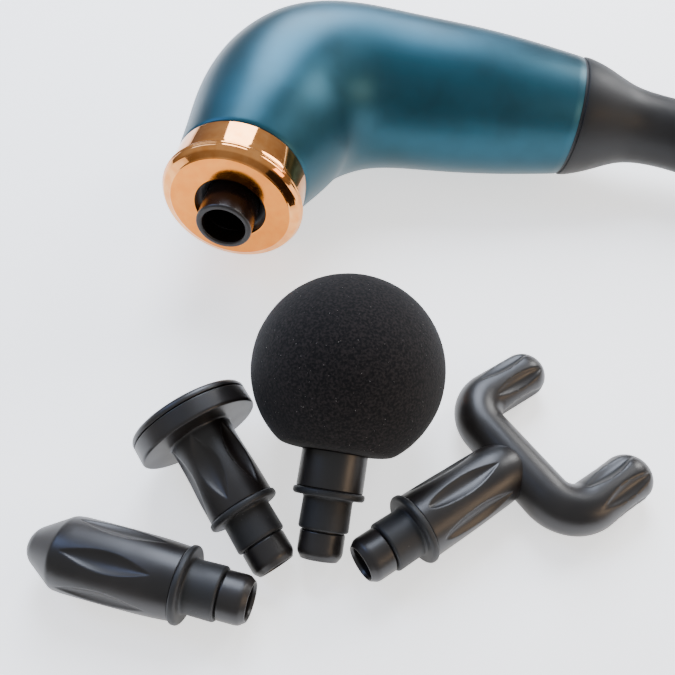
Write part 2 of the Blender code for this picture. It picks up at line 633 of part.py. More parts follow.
def build_rotor(gun):
    """Everything that spins on the motor's axis, which is the gun's +X through the crank."""
    spin = new_empty("rotor_frame", gun, (0.0, CRANK_Y, 0.0))
    bore = SHAFT_RADIUS + RUNNING
    wheel = turned("eccentric_wheel", ring_points(WHEEL_RADIUS, bore, WHEEL_THICK, 0.0, 0.4 * MM),
                   STEEL, spin, (WHEEL_FACE_X, 0.0, 0.0), TO_MOTOR)
    drill(wheel, CRANK_BOLT_RADIUS - 0.5 * MM, 2.0 * WHEEL_THICK, spin,
          (WHEEL_FACE_X + WHEEL_THICK / 2.0, 0.0, CRANK_THROW), TO_MOTOR, 12)

    weight = []
    for step in range(17):
        angle = math.radians(200.0 + 140.0 * step / 16)
        weight.append((COUNTERWEIGHT_RADIUS * math.cos(angle), COUNTERWEIGHT_RADIUS * math.sin(angle)))
    hub = 5.0 * MM
    for step in range(9):
        angle = math.radians(-20.0 + 220.0 * step / 8)
        weight.append((hub * math.cos(angle), hub * math.sin(angle)))
    weight_x = WHEEL_FACE_X + WHEEL_THICK + SEAT + COUNTERWEIGHT_THICK / 2.0
    turn = Matrix(((0.0, 0.0, 1.0), (1.0, 0.0, 0.0), (0.0, 1.0, 0.0))).to_euler()
    outline("counterweight", [weight, circle_loop(bore, 16)], COUNTERWEIGHT_THICK, BRASS, spin,
            (weight_x, 0.0, 0.0), turn)

    bell_back = MOTOR_X + MOTOR_LENGTH
    bell_front = MOTOR_X + 2.4 * MM
    bell_inner = STATOR_RADIUS + AIR_GAP + MAGNET_THICK + SEAT
    bell_outer = bell_inner + BELL_WALL
    turned("motor_shaft", pin_points(SHAFT_RADIUS, bell_back + 0.2 * MM, WHEEL_FACE_X, 0.3 * MM), STEEL,
           spin, rotation=TO_MOTOR, steps=SMALL_ROUND)
    floor = bell_back - BELL_FLOOR
    bell = [(bell_outer - 1.0 * MM, bell_back), (bell_outer, bell_back - 1.0 * MM),
            (bell_outer, bell_front), (bell_inner, bell_front), (bell_inner, floor), (bore, floor),
            (bore, bell_back)]
    turned("rotor_bell", bell, DARK_METAL, spin, rotation=TO_MOTOR)
    stator_x = stator_start()
    turned("magnet_ring", ring_points(bell_inner - SEAT, bell_inner - SEAT - MAGNET_THICK,
                                      stator_x + STATOR_LENGTH + 0.5 * MM, stator_x - 0.5 * MM),
           STEEL, spin, rotation=TO_MOTOR)
    return spin


def stator_start():
    return MOTOR_X + 5.6 * MM


def star_loop(teeth, root, shoe, tip):
    """Outline of a stator stamping: wedge shoes on narrow teeth."""
    points = []
    pitch = math.tau / teeth
    for tooth in range(teeth):
        middle = pitch * tooth
        for radius, spread in ((root, -0.15), (shoe, -0.15), (shoe, -0.36), (tip, -0.40),
                               (tip, 0.0), (tip, 0.40), (shoe, 0.36), (shoe, 0.15), (root, 0.15)):
            angle = middle + spread * pitch
            points.append((radius * math.cos(angle), radius * math.sin(angle)))
    return points


def build_motor(gun):
    axis = new_empty("motor_frame", gun, (0.0, CRANK_Y, 0.0), TO_MOTOR)
    stator_x = stator_start()
    tube_end = stator_x + STATOR_LENGTH + COIL_HEIGHT + 0.6 * MM
    tube = [(BEARING_TUBE_RADIUS, tube_end), (BEARING_TUBE_RADIUS, MOTOR_X + 1.6 * MM),
            (STATOR_RADIUS, MOTOR_X + 1.6 * MM), (STATOR_RADIUS, MOTOR_X),
            (BEARING_RADIUS + RUNNING, MOTOR_X), (BEARING_RADIUS + RUNNING, tube_end)]
    turned("bearing_tube", tube, ALUMINIUM, axis)
    front_start = MOTOR_X + 0.5 * MM
    rear_start = tube_end - BEARING_WIDTH - 0.5 * MM
    for name, start in (("bearing_front", front_start), ("bearing_rear", rear_start)):
        race = ring_points(BEARING_RADIUS, SHAFT_RADIUS + RUNNING, start + BEARING_WIDTH, start, 0.3 * MM)
        turned(name, race, STEEL, axis, steps=SMALL_ROUND)
    hub = BEARING_TUBE_RADIUS + SEAT
    star = star_loop(STATOR_TEETH, hub + 1.4 * MM, STATOR_RADIUS - 1.2 * MM, STATOR_RADIUS)
    outline("stator_core", [star, circle_loop(hub, 24)], STATOR_LENGTH, DARK_METAL, axis,
            (0.0, 0.0, stator_x + STATOR_LENGTH / 2.0))
    coil_inner = hub + 0.3 * MM
    coil_outer = STATOR_RADIUS - 0.5 * MM
    lobes = []
    for step in range(STATOR_TEETH * 6):
        angle = math.tau * step / (STATOR_TEETH * 6)
        radius = coil_outer - 0.9 * MM * (0.5 - 0.5 * math.cos(STATOR_TEETH * angle))
        lobes.append((radius * math.cos(angle), radius * math.sin(angle)))
    for name, middle in (("coil_front", stator_x - SEAT - COIL_HEIGHT / 2.0),
                         ("coil_rear", stator_x + STATOR_LENGTH + SEAT + COIL_HEIGHT / 2.0)):
        outline(name, [lobes, circle_loop(coil_inner, 24)], COIL_HEIGHT, COPPER, axis, (0.0, 0.0, middle))


def build_frame(gun):
    """The guide with its holder, and the bracket that carries the motor."""
    guide_outer = PLUNGER_RADIUS + RUNNING + GUIDE_WALL
    back = -GUIDE_FRONT - GUIDE_LENGTH
    guide = ring_points(guide_outer, PLUNGER_RADIUS + RUNNING, -GUIDE_FRONT, back, 0.5 * MM)
    turned("plunger_guide", guide, DARK_PLASTIC, gun, rotation=TO_PLUNGER)
    turned("dust_seal", ring_points(BEZEL_HOLE_RADIUS + 1.2 * MM, PLUNGER_RADIUS + RUNNING, -2.6 * MM - SEAT,
                                    -GUIDE_FRONT + SEAT),
           RUBBER, gun, rotation=TO_PLUNGER)
    holder_outer = guide_outer + SEAT + 2.2 * MM
    holder_front = -GUIDE_FRONT - 3.0 * MM
    stop_front = back - SEAT
    stop_back = stop_front - 2.0 * MM
    seat_radius = guide_outer + SEAT
    stop_radius = PLUNGER_RADIUS + 0.8 * MM
    holder_points = [(holder_outer, holder_front), (holder_outer, stop_back), (stop_radius, stop_back),
                     (stop_radius, stop_front), (seat_radius, stop_front), (seat_radius, holder_front)]
    holder = turned("guide_holder", holder_points, ALUMINIUM, gun, rotation=TO_PLUNGER)
    ear_x = BRACKET_X - SEAT - EAR_THICK / 2.0
    ear_end = CRANK_Y - COUNTERWEIGHT_RADIUS - 1.6 * MM
    ear_start = -stop_front + 0.5 * MM
    ear = block("ear_of_holder", (EAR_THICK, ear_end - ear_start, 18.0 * MM), ALUMINIUM, gun,
                (ear_x, (ear_start + ear_end) / 2.0, 0.0))
    cut(holder, ear, 'UNION')

    overlap = 8.0 * MM
    bracket_start = ear_end - overlap
    bracket_end = CRANK_Y + 16.0 * MM
    bracket_x = BRACKET_X + BRACKET_THICK / 2.0
    bracket = block("motor_bracket", (BRACKET_THICK, bracket_end - bracket_start, 24.0 * MM), ALUMINIUM, gun,
                    (bracket_x, (bracket_start + bracket_end) / 2.0, 0.0))
    drill(bracket, SHAFT_RADIUS + 1.0 * MM, 4.0 * BRACKET_THICK, gun, (bracket_x, CRANK_Y, 0.0), TO_MOTOR)
    screw_y = ear_end - overlap / 2.0
    for number, side in enumerate((-1.0, 1.0), start=1):
        spot = (ear_x - EAR_THICK / 2.0 - SEAT, screw_y, side * 6.0 * MM)
        hole = (ear_x, screw_y, side * 6.0 * MM)
        drill(holder, 1.5 * MM, 6.0 * MM, gun, hole, TO_MOTOR, 12)
        drill(bracket, 1.5 * MM, 6.0 * MM, gun, (bracket_x, hole[1], hole[2]), TO_MOTOR, 12)
        screw_part("frame_screw_%d" % number, 2.3 * MM, 1.6 * MM, 1.2 * MM, 5.6 * MM, gun, spot,
                   (0.0, math.radians(-90.0), 0.0))

    damper_outer = RING_RADIUS - BODY_WALL - 1.5 * FACET
    damper_front = RING_DEPTH + SPIGOT_LENGTH + 1.0 * MM
    damper_back = -damper_front - DAMPER_LENGTH
    damper = ring_points(damper_outer, holder_outer + SEAT, -damper_front, damper_back, 0.4 * MM)
    turned("guide_damper", damper, RUBBER, gun, rotation=TO_PLUNGER)


# ---- Battery and boards ----------------------------------------------------------------
def cell_radius():
    """The largest radius of three cells in a triangle that the barrel takes at its tighter end."""
    room = barrel_radius(CELLS_X + CELL_LENGTH) - BODY_WALL - CELL_MARGIN
    spread = 2.0 / math.sqrt(3.0)
    return (room - CELL_GAP * spread) / (1.0 + spread)


def build_battery(gun):
    radius = cell_radius()
    pitch_radius = (radius + CELL_GAP) * 2.0 / math.sqrt(3.0)
    for number in range(3):
        angle = math.radians(90.0 + 120.0 * number)
        centre = (CELLS_X, BARREL_Y + pitch_radius * math.cos(angle), pitch_radius * math.sin(angle))
        cell = [(0.0, CELL_LENGTH), (3.0 * MM, CELL_LENGTH), (3.0 * MM, CELL_LENGTH - 1.2 * MM),
                (radius - 0.6 * MM, CELL_LENGTH - 1.2 * MM), (radius, CELL_LENGTH - 1.8 * MM),
                (radius, 0.4 * MM), (radius - 0.4 * MM, 0.0), (0.0, 0.0)]
        turned("battery_cell_%d" % (number + 1), cell, CELL, gun, centre, TO_MOTOR, 24)
    front_x = CELLS_X - SEAT - HOLDER_THICK
    rear_x = CELLS_X + CELL_LENGTH + SEAT
    for name, x in (("cell_holder_front", front_x), ("cell_holder_rear", rear_x)):
        holder_radius = barrel_radius(x + HOLDER_THICK) - BODY_WALL - 3.0 * FACET
        turned(name, ring_points(holder_radius, 2.5 * MM, HOLDER_THICK, 0.0), DARK_PLASTIC, gun,
               (x, BARREL_Y, 0.0), TO_MOTOR, 24)


def build_controller(gun):
    board_y = CRANK_Y - 3.0 * MM
    block("controller_board", (BOARD_THICK, BOARD_LENGTH, BOARD_WIDTH), BOARD, gun, (BOARD_X, board_y, 0.0))
    front = BOARD_X - BOARD_THICK / 2.0 - SEAT
    chip_place = (front - CHIP_THICK / 2.0, board_y + 5.0 * MM, 0.0)
    block("controller_chip", (CHIP_THICK, CHIP_SIDE, CHIP_SIDE), BLACK, gun, chip_place)
    turned("board_capacitor", pin_points(3.0 * MM, 5.0 * MM, 0.0, 0.3 * MM), ALUMINIUM, gun,
           (front - 5.0 * MM, board_y - 6.0 * MM, 4.0 * MM), TO_MOTOR, 16)


# ---- Heads -----------------------------------------------------------------------------
def head_sleeve(name, frame):
    """Rubber sleeve with the flange that seats on the plunger's rim."""
    half = FLANGE_THICK / 2.0
    points = [(SLEEVE_RADIUS, SLEEVE_LENGTH), (SLEEVE_RADIUS, half),
              (FLANGE_RADIUS, half), (FLANGE_RADIUS, -half),
              (STEM_RADIUS + SEAT, -half), (STEM_RADIUS + SEAT, SLEEVE_LENGTH)]
    turned(name, points, RUBBER, frame, steps=HEAD_ROUND)


def stem_profile():
    """The plug end that every hard head shares, from its bore to the shoulder by the flange."""
    end = SLEEVE_LENGTH + TIP_LENGTH
    step = SLEEVE_LENGTH + SEAT
    return [(0.0, end - TIP_BORE_DEPTH), (TIP_BORE_RADIUS, end - TIP_BORE_DEPTH),
            (TIP_BORE_RADIUS, end), (TIP_RADIUS - TIP_CHAMFER * 0.6, end), (TIP_RADIUS, end - TIP_CHAMFER),
            (TIP_RADIUS, step), (STEM_RADIUS, step), (STEM_RADIUS, -FLANGE_THICK / 2.0 - SEAT)]


def build_ball(frame):
    top = -FLANGE_THICK / 2.0 - SEAT
    spike_end = -BALL_COLLAR - BALL_SPIKE
    stem = stem_profile() + [(SHANK_RADIUS - 0.5 * MM, top), (SHANK_RADIUS, top - 0.5 * MM),
                             (SHANK_RADIUS, -BALL_COLLAR), (STEM_RADIUS, -BALL_COLLAR),
                             (STEM_RADIUS, spike_end), (0.0, spike_end)]
    turned("ball_stem", stem, HEAD_PLASTIC, frame, steps=HEAD_ROUND)
    head_sleeve("ball_sleeve", frame)
    flat = -BALL_COLLAR - SEAT
    cap_angle = math.degrees(math.asin((flat + BALL_DISTANCE) / BALL_RADIUS))
    ball = arc((0.0, -BALL_DISTANCE), BALL_RADIUS, cap_angle, -90.0, 11)
    ball[-1] = (0.0, -BALL_DISTANCE - BALL_RADIUS)
    hole = STEM_RADIUS + SEAT
    cavity = [(0.0, flat + 1.0 * MM), (hole, flat + 1.0 * MM),
              (hole, spike_end - SEAT), (0.0, spike_end - SEAT)]
    item = turned("ball_foam", [(0.0, flat)] + ball, FOAM, frame, steps=24)
    cut(item, turned("cut_ball_bore", cavity, STEEL, frame, steps=HEAD_ROUND))


def build_flat(frame):
    top = -FLANGE_THICK / 2.0 - SEAT
    back = -DISC_DISTANCE
    front = back - DISC_THICK
    body = stem_profile() + [(SHANK_RADIUS - 0.5 * MM, top), (SHANK_RADIUS, top - 0.5 * MM),
                             (SHANK_RADIUS, back + DISC_FILLET), (SHANK_RADIUS + DISC_FILLET, back),
                             (DISC_RADIUS - DISC_FILLET, back), (DISC_RADIUS, back - DISC_FILLET),
                             (DISC_RADIUS, front), (0.0, front)]
    turned("flat_body", body, HEAD_PLASTIC, frame, steps=HEAD_ROUND)
    head_sleeve("flat_sleeve", frame)
    pad_top = front - SEAT
    pad_end = pad_top - PAD_THICK
    pad = [(0.0, pad_top), (DISC_RADIUS, pad_top), (DISC_RADIUS, pad_end + PAD_EDGE)]
    pad += arc((DISC_RADIUS - PAD_EDGE, pad_end + PAD_EDGE), PAD_EDGE, -15.0, -90.0, 5)
    pad += [(0.0, pad_end)]
    turned("flat_pad", pad, HEAD_PLASTIC, frame, steps=HEAD_ROUND)


def build_bullet(frame):
    top = -FLANGE_THICK / 2.0 - SEAT
    nose_centre = -BULLET_LENGTH + BULLET_NOSE
    body = stem_profile() + [(BULLET_RADIUS - 0.9 * MM, top), (BULLET_RADIUS - 0.4 * MM, top - 0.6 * MM),
                             (BULLET_RADIUS, -BULLET_BODY / 2.0), (BULLET_RADIUS - 0.2 * MM, -BULLET_BODY)]
    body += arc((0.0, nose_centre), BULLET_NOSE, -25.0, -90.0, 6)
    body[-1] = (0.0, -BULLET_LENGTH)
    turned("bullet_body", body, HEAD_PLASTIC, frame, steps=HEAD_ROUND)
    head_sleeve("bullet_sleeve", frame)


def fork_stations():
    """The bent tube from one rounded tine end to the other, in the frame's XZ plane.

    Each station is a centre, the direction of travel there and the tube's radius."""
    bar = -FORK_DISTANCE
    corner_x = FORK_HALF_SPAN - FORK_BEND
    corner_z = bar - FORK_BEND
    tine_z = bar - FORK_TINE
    half = [(corner_x * 0.5, bar, 0.0, FORK_TUBE)]
    for degrees in (0.0, 22.5, 45.0, 67.5, 90.0):
        turn = math.radians(degrees)
        half.append((corner_x + FORK_BEND * math.sin(turn), corner_z + FORK_BEND * math.cos(turn),
                     turn, FORK_TUBE))
    half.append((FORK_HALF_SPAN, (corner_z + tine_z) / 2.0, math.radians(90.0), FORK_TUBE))
    for degrees in (0.0, 25.0, 48.0, 68.0):
        turn = math.radians(degrees)
        half.append((FORK_HALF_SPAN, tine_z - FORK_TUBE * math.sin(turn), math.radians(90.0),
                     FORK_TUBE * math.cos(turn)))
    other = [(-x, z, -turn, radius) for x, z, turn, radius in reversed(half)]
    return other + half


def fork_tube(name, frame):
    bm = bmesh.new()
    rings = []
    for x, z, turn, radius in fork_stations():
        side = Vector((math.sin(turn), 0.0, math.cos(turn)))
        ring = []
        for step in range(FORK_ROUND):
            angle = math.tau * step / FORK_ROUND
            offset = side * (radius * math.cos(angle)) + Vector((0.0, radius * math.sin(angle), 0.0))
            ring.append(bm.verts.new(Vector((x, 0.0, z)) + offset))
        rings.append(ring)
    for near, far in zip(rings, rings[1:]):
        for step in range(FORK_ROUND):
            after = (step + 1) % FORK_ROUND
            bm.faces.new((near[step], near[after], far[after], far[step]))
    end_z = -FORK_DISTANCE - FORK_TINE - FORK_TUBE
    for ring, x in ((rings[0], -FORK_HALF_SPAN), (rings[-1], FORK_HALF_SPAN)):
        tip = bm.verts.new((x, 0.0, end_z))
        for step in range(FORK_ROUND):
            bm.faces.new((ring[step], ring[(step + 1) % FORK_ROUND], tip))
    bmesh.ops.recalc_face_normals(bm, faces=bm.faces)
    return new_part(name, mesh_from(name, bm), HEAD_PLASTIC, frame)


def build_fork(frame):
    top = -FLANGE_THICK / 2.0 - SEAT
    bar = -FORK_DISTANCE
    shank = stem_profile() + [(SHANK_RADIUS - 0.5 * MM, top), (SHANK_RADIUS, top - 0.5 * MM),
                              (FORK_SHANK_END, bar + 5.0 * MM), (FORK_TUBE * 0.85, bar), (0.0, bar)]
    body = turned("fork_body", shank, HEAD_PLASTIC, frame, steps=HEAD_ROUND)
    cut(body, fork_tube("fork_tube", frame), 'UNION')
    head_sleeve("fork_sleeve", frame)


def lay_down(name, spot, heading, tilt, height):
    """A head's frame: its +Z points along the heading, dipped below level by tilt."""
    frame = new_empty(name, TABLE, (spot[0], spot[1], height))
    frame.rotation_euler = (0.0, math.radians(90.0) + tilt, heading)
    return frame


def rest_tilt(big_radius, big_distance, small_radius, small_distance):
    """Dip of an axis whose two round ends of unlike radius both touch the table."""
    span = big_distance + small_distance
    tilt = 0.0
    for _ in range(40):
        tilt = math.asin((big_radius - small_radius) * math.cos(tilt) / span)
    return tilt


def build_heads():
    tip_end = SLEEVE_LENGTH + TIP_LENGTH
    tilt = 0.0
    for _ in range(40):
        tilt = math.asin((BALL_RADIUS - TIP_RADIUS * math.cos(tilt)) / (BALL_DISTANCE + tip_end))
    height = BALL_RADIUS - BALL_DISTANCE * math.sin(tilt)
    build_ball(lay_down("ball_frame", BALL_PLACE, BALL_HEADING, tilt, height))

    tilt = rest_tilt(DISC_RADIUS, DISC_DISTANCE, FLANGE_RADIUS, 0.0)
    tip_tilt = rest_tilt(DISC_RADIUS, DISC_DISTANCE, TIP_RADIUS, tip_end)
    tilt = min(tilt, tip_tilt)
    height = DISC_RADIUS * math.cos(tilt) - DISC_DISTANCE * math.sin(tilt)
    build_flat(lay_down("flat_frame", FLAT_PLACE, FLAT_HEADING, tilt, height))

    build_bullet(lay_down("bullet_frame", BULLET_PLACE, BULLET_HEADING, 0.0, FLANGE_RADIUS))

    dip = math.asin((FLANGE_RADIUS - FORK_TUBE) / (FORK_DISTANCE + FORK_TINE))
    frame = lay_down("fork_frame", FORK_PLACE, FORK_HEADING, -dip, FLANGE_RADIUS * math.cos(dip))
    turned_fork = Matrix.Rotation(FORK_HEADING, 4, 'Z') @ Matrix.Rotation(math.radians(90.0) - dip, 4, 'Y')
    frame.rotation_euler = (turned_fork @ Matrix.Rotation(math.radians(90.0), 4, 'Z')).to_euler()
    build_fork(frame)


# ---- Laying the gun on the table ---------------------------------------------------------
def world_points(parent):
    """World points of every evaluated part under a parent."""
    bpy.context.view_layer.update()
    graph = bpy.context.evaluated_depsgraph_get()
    points = []
    for item in PARTS.objects:
        if item.type == 'EMPTY' or not has_parent(item, parent):
            continue
        evaluated = item.evaluated_get(graph)
        mesh = evaluated.to_mesh()
        points += [evaluated.matrix_world @ vertex.co for vertex in mesh.vertices]
        evaluated.to_mesh_clear()
    return points


def has_parent(item, parent):
    while item is not None:
        if item == parent:
            return True
        item = item.parent
    return False


def settle_gun(gun):
    """Turns and lifts the gun until its elbow and its grip both touch the table."""
    split = BARREL_END_X
    for _ in range(3):
        points = world_points(gun)
        front = min((point for point in points if point.x < split), key=lambda point: point.z)
        rear = min((point for point in points if point.x >= split), key=lambda point: point.z)
        gun.rotation_euler.y += math.atan2(rear.z - front.z, rear.x - front.x)
    gun.location.z = -min(point.z for point in world_points(gun))


def main():
    gun = new_empty("gun_frame", TABLE)
    build_body(gun)
    build_handle(gun)
    build_base_cap(gun)
    build_frame(gun)
    build_motor(gun)
    build_rotor(gun)
    slider = build_plunger(gun)
    build_con_rod(slider)
    build_battery(gun)
    build_controller(gun)
    build_heads()

    settle_gun(gun)
    points = world_points(TABLE)
    middle_x = (min(point.x for point in points) + max(point.x for point in points)) / 2.0
    middle_y = (min(point.y for point in points) + max(point.y for point in points)) / 2.0
    TABLE.location = (-middle_x, -middle_y, 0.0)
    bpy.context.view_layer.update()


clear_scene()
PARTS = new_collection("massage_gun")
CUTTERS = new_collection("cutters")
TEAL = new_material("teal_satin_paint", (0.012, 0.105, 0.19), 0.38, 0.6)
ROSE = new_material("rose_gold_plating", (0.78, 0.42, 0.25), 0.12, 1.0)
GRIP = new_material("soft_touch_grip", (0.024, 0.024, 0.026), 0.62)
BLACK = new_material("glossy_black_plastic", (0.018, 0.014, 0.012), 0.3)
DARK_PLASTIC = new_material("dark_plastic", (0.02, 0.02, 0.022), 0.5)
HEAD_PLASTIC = new_material("satin_head_plastic", (0.02, 0.017, 0.015), 0.38)
RUBBER = new_material("black_rubber", (0.022, 0.023, 0.025), 0.75)
FOAM = new_material("charcoal_foam", (0.012, 0.011, 0.011), 0.95)
STEEL = new_material("steel", (0.55, 0.55, 0.56), 0.3, 1.0)
DARK_METAL = new_material("dark_steel", (0.09, 0.09, 0.1), 0.35, 1.0)
ALUMINIUM = new_material("aluminium", (0.68, 0.69, 0.7), 0.35, 1.0)
BRASS = new_material("brass", (0.7, 0.5, 0.22), 0.3, 1.0)
COPPER = new_material("enamelled_copper", (0.6, 0.22, 0.08), 0.35, 0.8)
BOARD = new_material("circuit_board", (0.01, 0.13, 0.05), 0.4)
CELL = new_material("cell_wrap", (0.02, 0.12, 0.4), 0.35)
LENS = new_material("light_lens", (0.85, 0.9, 0.95), 0.2)
BUTTON = new_material("button_plastic", (0.03, 0.03, 0.033), 0.35)
TABLE = new_empty("table_frame")
main()
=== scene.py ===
# %% [markdown]
# # A massage gun and its four heads
# The gun is an aluminium elbow with a rose-gold mouth and a soft grip. Beside it lie a foam
# ball, a flat disc, a bullet and a fork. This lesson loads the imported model, makes each visible
# piece again with its fine edges, scoops and grain, and gives every finish its own material.

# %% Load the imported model
import json
import math

import bmesh
import bpy
from mathutils import Matrix, Vector, noise


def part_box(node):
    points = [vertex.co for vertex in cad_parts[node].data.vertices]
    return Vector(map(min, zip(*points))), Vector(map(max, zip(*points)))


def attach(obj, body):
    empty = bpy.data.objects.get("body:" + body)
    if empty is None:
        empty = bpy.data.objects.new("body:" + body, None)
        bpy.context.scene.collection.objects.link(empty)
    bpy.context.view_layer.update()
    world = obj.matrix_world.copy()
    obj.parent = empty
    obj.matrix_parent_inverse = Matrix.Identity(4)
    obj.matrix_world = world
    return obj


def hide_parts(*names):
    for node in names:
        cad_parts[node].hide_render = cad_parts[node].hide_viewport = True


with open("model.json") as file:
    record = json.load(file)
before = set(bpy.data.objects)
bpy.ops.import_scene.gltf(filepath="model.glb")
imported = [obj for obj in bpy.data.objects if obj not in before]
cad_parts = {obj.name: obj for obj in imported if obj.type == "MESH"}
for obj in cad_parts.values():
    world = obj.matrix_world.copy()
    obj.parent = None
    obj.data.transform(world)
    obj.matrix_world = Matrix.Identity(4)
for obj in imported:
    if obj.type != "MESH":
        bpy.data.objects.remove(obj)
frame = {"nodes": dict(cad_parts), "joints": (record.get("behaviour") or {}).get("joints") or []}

MM = 0.001
QUARTER = math.radians(90.0)
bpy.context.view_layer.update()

# %% [markdown]
# ## Where the gun and the heads lie
# Everything on the gun is turned or lofted about a few axes. The mouth's centre comes from the
# box of the front ring, and the barrel's direction is the axis that the crank turns on. A matrix
# then carries any point from the gun's own frame to the table.

# %% The gun's own frame
mouth_low, mouth_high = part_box("front_bezel")
mouth = Vector(((mouth_low.x + mouth_high.x) / 2.0, mouth_low.y, (mouth_low.z + mouth_high.z) / 2.0))
joint_axes = {joint["name"]: Vector(joint["axis"]).normalized() for joint in frame["joints"]}


def shift(x, y, z):
    """A shift by millimetres."""
    return Matrix.Translation((x * MM, y * MM, z * MM))


def frame_matrix(origin, x_way, y_way, z_way):
    turn = Matrix((x_way, y_way, z_way)).transposed().to_4x4()
    return Matrix.Translation(origin) @ turn


barrel_way = joint_axes["rotor_spin"]
strike_back = Vector((0.0, 1.0, 0.0))
GUN = frame_matrix(mouth, barrel_way, strike_back, barrel_way.cross(strike_back))
ALONG_BARREL = Matrix.Rotation(QUARTER, 4, 'Y')
MOUTH = GUN @ Matrix.Rotation(QUARTER, 4, 'X')
print("mouth at", [round(value / MM, 1) for value in mouth], "mm")

# %% [markdown]
# A head lies on two of its round ends at once, so its axis dips a little. Its frame stands on the
# middle of the rubber flange with +Z towards the plug end, and the dip follows from the two radii.

# %% The heads' frames
FLANGE_RADIUS = 9.9 * MM
TIP_RADIUS = 6.2 * MM
PLUG_END = 17.4 * MM
BALL_RADIUS = 27.5 * MM
BALL_DISTANCE = 34.5 * MM
DISC_RADIUS = 17.4 * MM
DISC_BACK = 24.4 * MM
FORK_REACH = 60.5 * MM
FORK_TUBE = 7.1 * MM
SETTLING = 40                       # rounds that each dip is improved by


def head_frame(across, back, heading, dip, height, roll=0.0):
    """Frame of a head: place from the mouth's centre in mm, heading in degrees, dip in radians."""
    spot = Vector((mouth.x + across * MM, mouth.y + back * MM, height))
    turn = Matrix.Rotation(math.radians(heading), 4, 'Z')
    lie = Matrix.Rotation(QUARTER + dip, 4, 'Y')
    return Matrix.Translation(spot) @ turn @ lie @ Matrix.Rotation(math.radians(roll), 4, 'Z')


def dip_between(big, small, span):
    """Dip of an axis that rests on two discs of unlike radius, span apart."""
    dip = 0.0
    for _ in range(SETTLING):
        dip = math.asin((big - small) * math.cos(dip) / span)
    return dip


ball_dip = 0.0
for _ in range(SETTLING):
    ball_dip = math.asin((BALL_RADIUS - TIP_RADIUS * math.cos(ball_dip)) / (BALL_DISTANCE + PLUG_END))
BALL = head_frame(46.7, -85.5, -91.2, ball_dip, BALL_RADIUS - BALL_DISTANCE * math.sin(ball_dip), 20.0)
flat_dip = min(dip_between(DISC_RADIUS, FLANGE_RADIUS, DISC_BACK),
               dip_between(DISC_RADIUS, TIP_RADIUS, DISC_BACK + PLUG_END))
flat_height = DISC_RADIUS * math.cos(flat_dip) - DISC_BACK * math.sin(flat_dip)
FLAT = head_frame(24.4, -92.6, -47.3, flat_dip, flat_height)
BULLET = head_frame(14.4, -114.1, -5.7, 0.0, FLANGE_RADIUS)
fork_dip = math.asin((FLANGE_RADIUS - FORK_TUBE) / FORK_REACH)
FORK = head_frame(70.6, -90.7, -137.5, -fork_dip, FLANGE_RADIUS * math.cos(fork_dip), 90.0)
print("dips:", [round(math.degrees(dip), 1) for dip in (ball_dip, flat_dip, fork_dip)])

# %% [markdown]
# ## Colours and nodes
# Colours are hex values as picked on a screen, and one function turns them to the linear values
# that light is added up in. One more adds a node with its settings and its links, so that each
# material below reads as a short recipe.

# %% Colour and node helpers
def linear(hex_code):
    """Linear RGBA of an sRGB hex colour."""
    values = []
    for start in (1, 3, 5):
        value = int(hex_code[start:start + 2], 16) / 255.0
        values.append(value / 12.92 if value <= 0.04045 else ((value + 0.055) / 1.055) ** 2.4)
    return (*values, 1.0)


def add(tree, kind, settings=None, inputs=None):
    """Adds a node; an input is a plain value, an output socket, or a node for its first output."""
    node = tree.nodes.new(kind)
    for name, value in (settings or {}).items():
        setattr(node, name, value)
    for name, value in (inputs or {}).items():
        if isinstance(value, bpy.types.Node):
            value = value.outputs[0]
        if isinstance(value, bpy.types.NodeSocket):
            tree.links.new(value, node.inputs[name])
        else:
            node.inputs[name].default_value = value
    return node


def new_finish(name, colour, roughness, **sockets):
    """A material with a principled shader; sockets are further plain values by socket name."""
    finish = bpy.data.materials.new(name)
    finish.use_nodes = True
    shader = finish.node_tree.nodes["Principled BSDF"]
    shader.inputs["Base Color"].default_value = linear(colour)
    shader.inputs["Roughness"].default_value = roughness
    for socket, value in sockets.items():
        shader.inputs[socket.replace("_", " ")].default_value = value
    return finish, finish.node_tree, shader


def grain(tree, scale, detail=2.0, stretch=(1.0, 1.0, 1.0)):
    """Noise in the piece's own space, whose scale is in features per metre."""
    place = add(tree, "ShaderNodeTexCoord")
    spread = add(tree, "ShaderNodeMapping", None, {"Vector": place.outputs["Object"], "Scale": stretch})
    specks = add(tree, "ShaderNodeTexNoise", None, {"Vector": spread, "Scale": scale, "Detail": detail})
    return specks.outputs["Fac"]


def blend_colours(tree, factor, low, high, start=0.35, end=0.65):
    """Runs from one colour to another as the factor passes from start to end."""
    ramp = add(tree, "ShaderNodeValToRGB", None, {"Fac": factor})
    for stop, place, colour in zip(ramp.color_ramp.elements, (start, end), (low, high)):
        stop.position = place
        stop.color = linear(colour)
    return ramp.outputs["Color"]


def between(tree, factor, low, high):
    """Maps a 0 to 1 factor to a range of roughness."""
    reach = add(tree, "ShaderNodeMapRange", None,
                {"Value": factor, "From Min": 0.3, "From Max": 0.7, "To Min": low, "To Max": high})
    return reach.outputs["Result"]


def clouded(tree, shader, pattern, dark, light, low, high):
    """Lets one pattern vary both the colour and the roughness."""
    tree.links.new(blend_colours(tree, pattern, dark, light), shader.inputs["Base Color"])
    tree.links.new(between(tree, pattern, low, high), shader.inputs["Roughness"])


def relief(tree, shader, height, depth):
    """Bumps the surface by depth metres at most."""
    bump = add(tree, "ShaderNodeBump", None, {"Height": height, "Distance": depth, "Strength": 1.0})
    tree.links.new(bump.outputs["Normal"], shader.inputs["Normal"])


print("white is", linear("#FFFFFF")[:3])

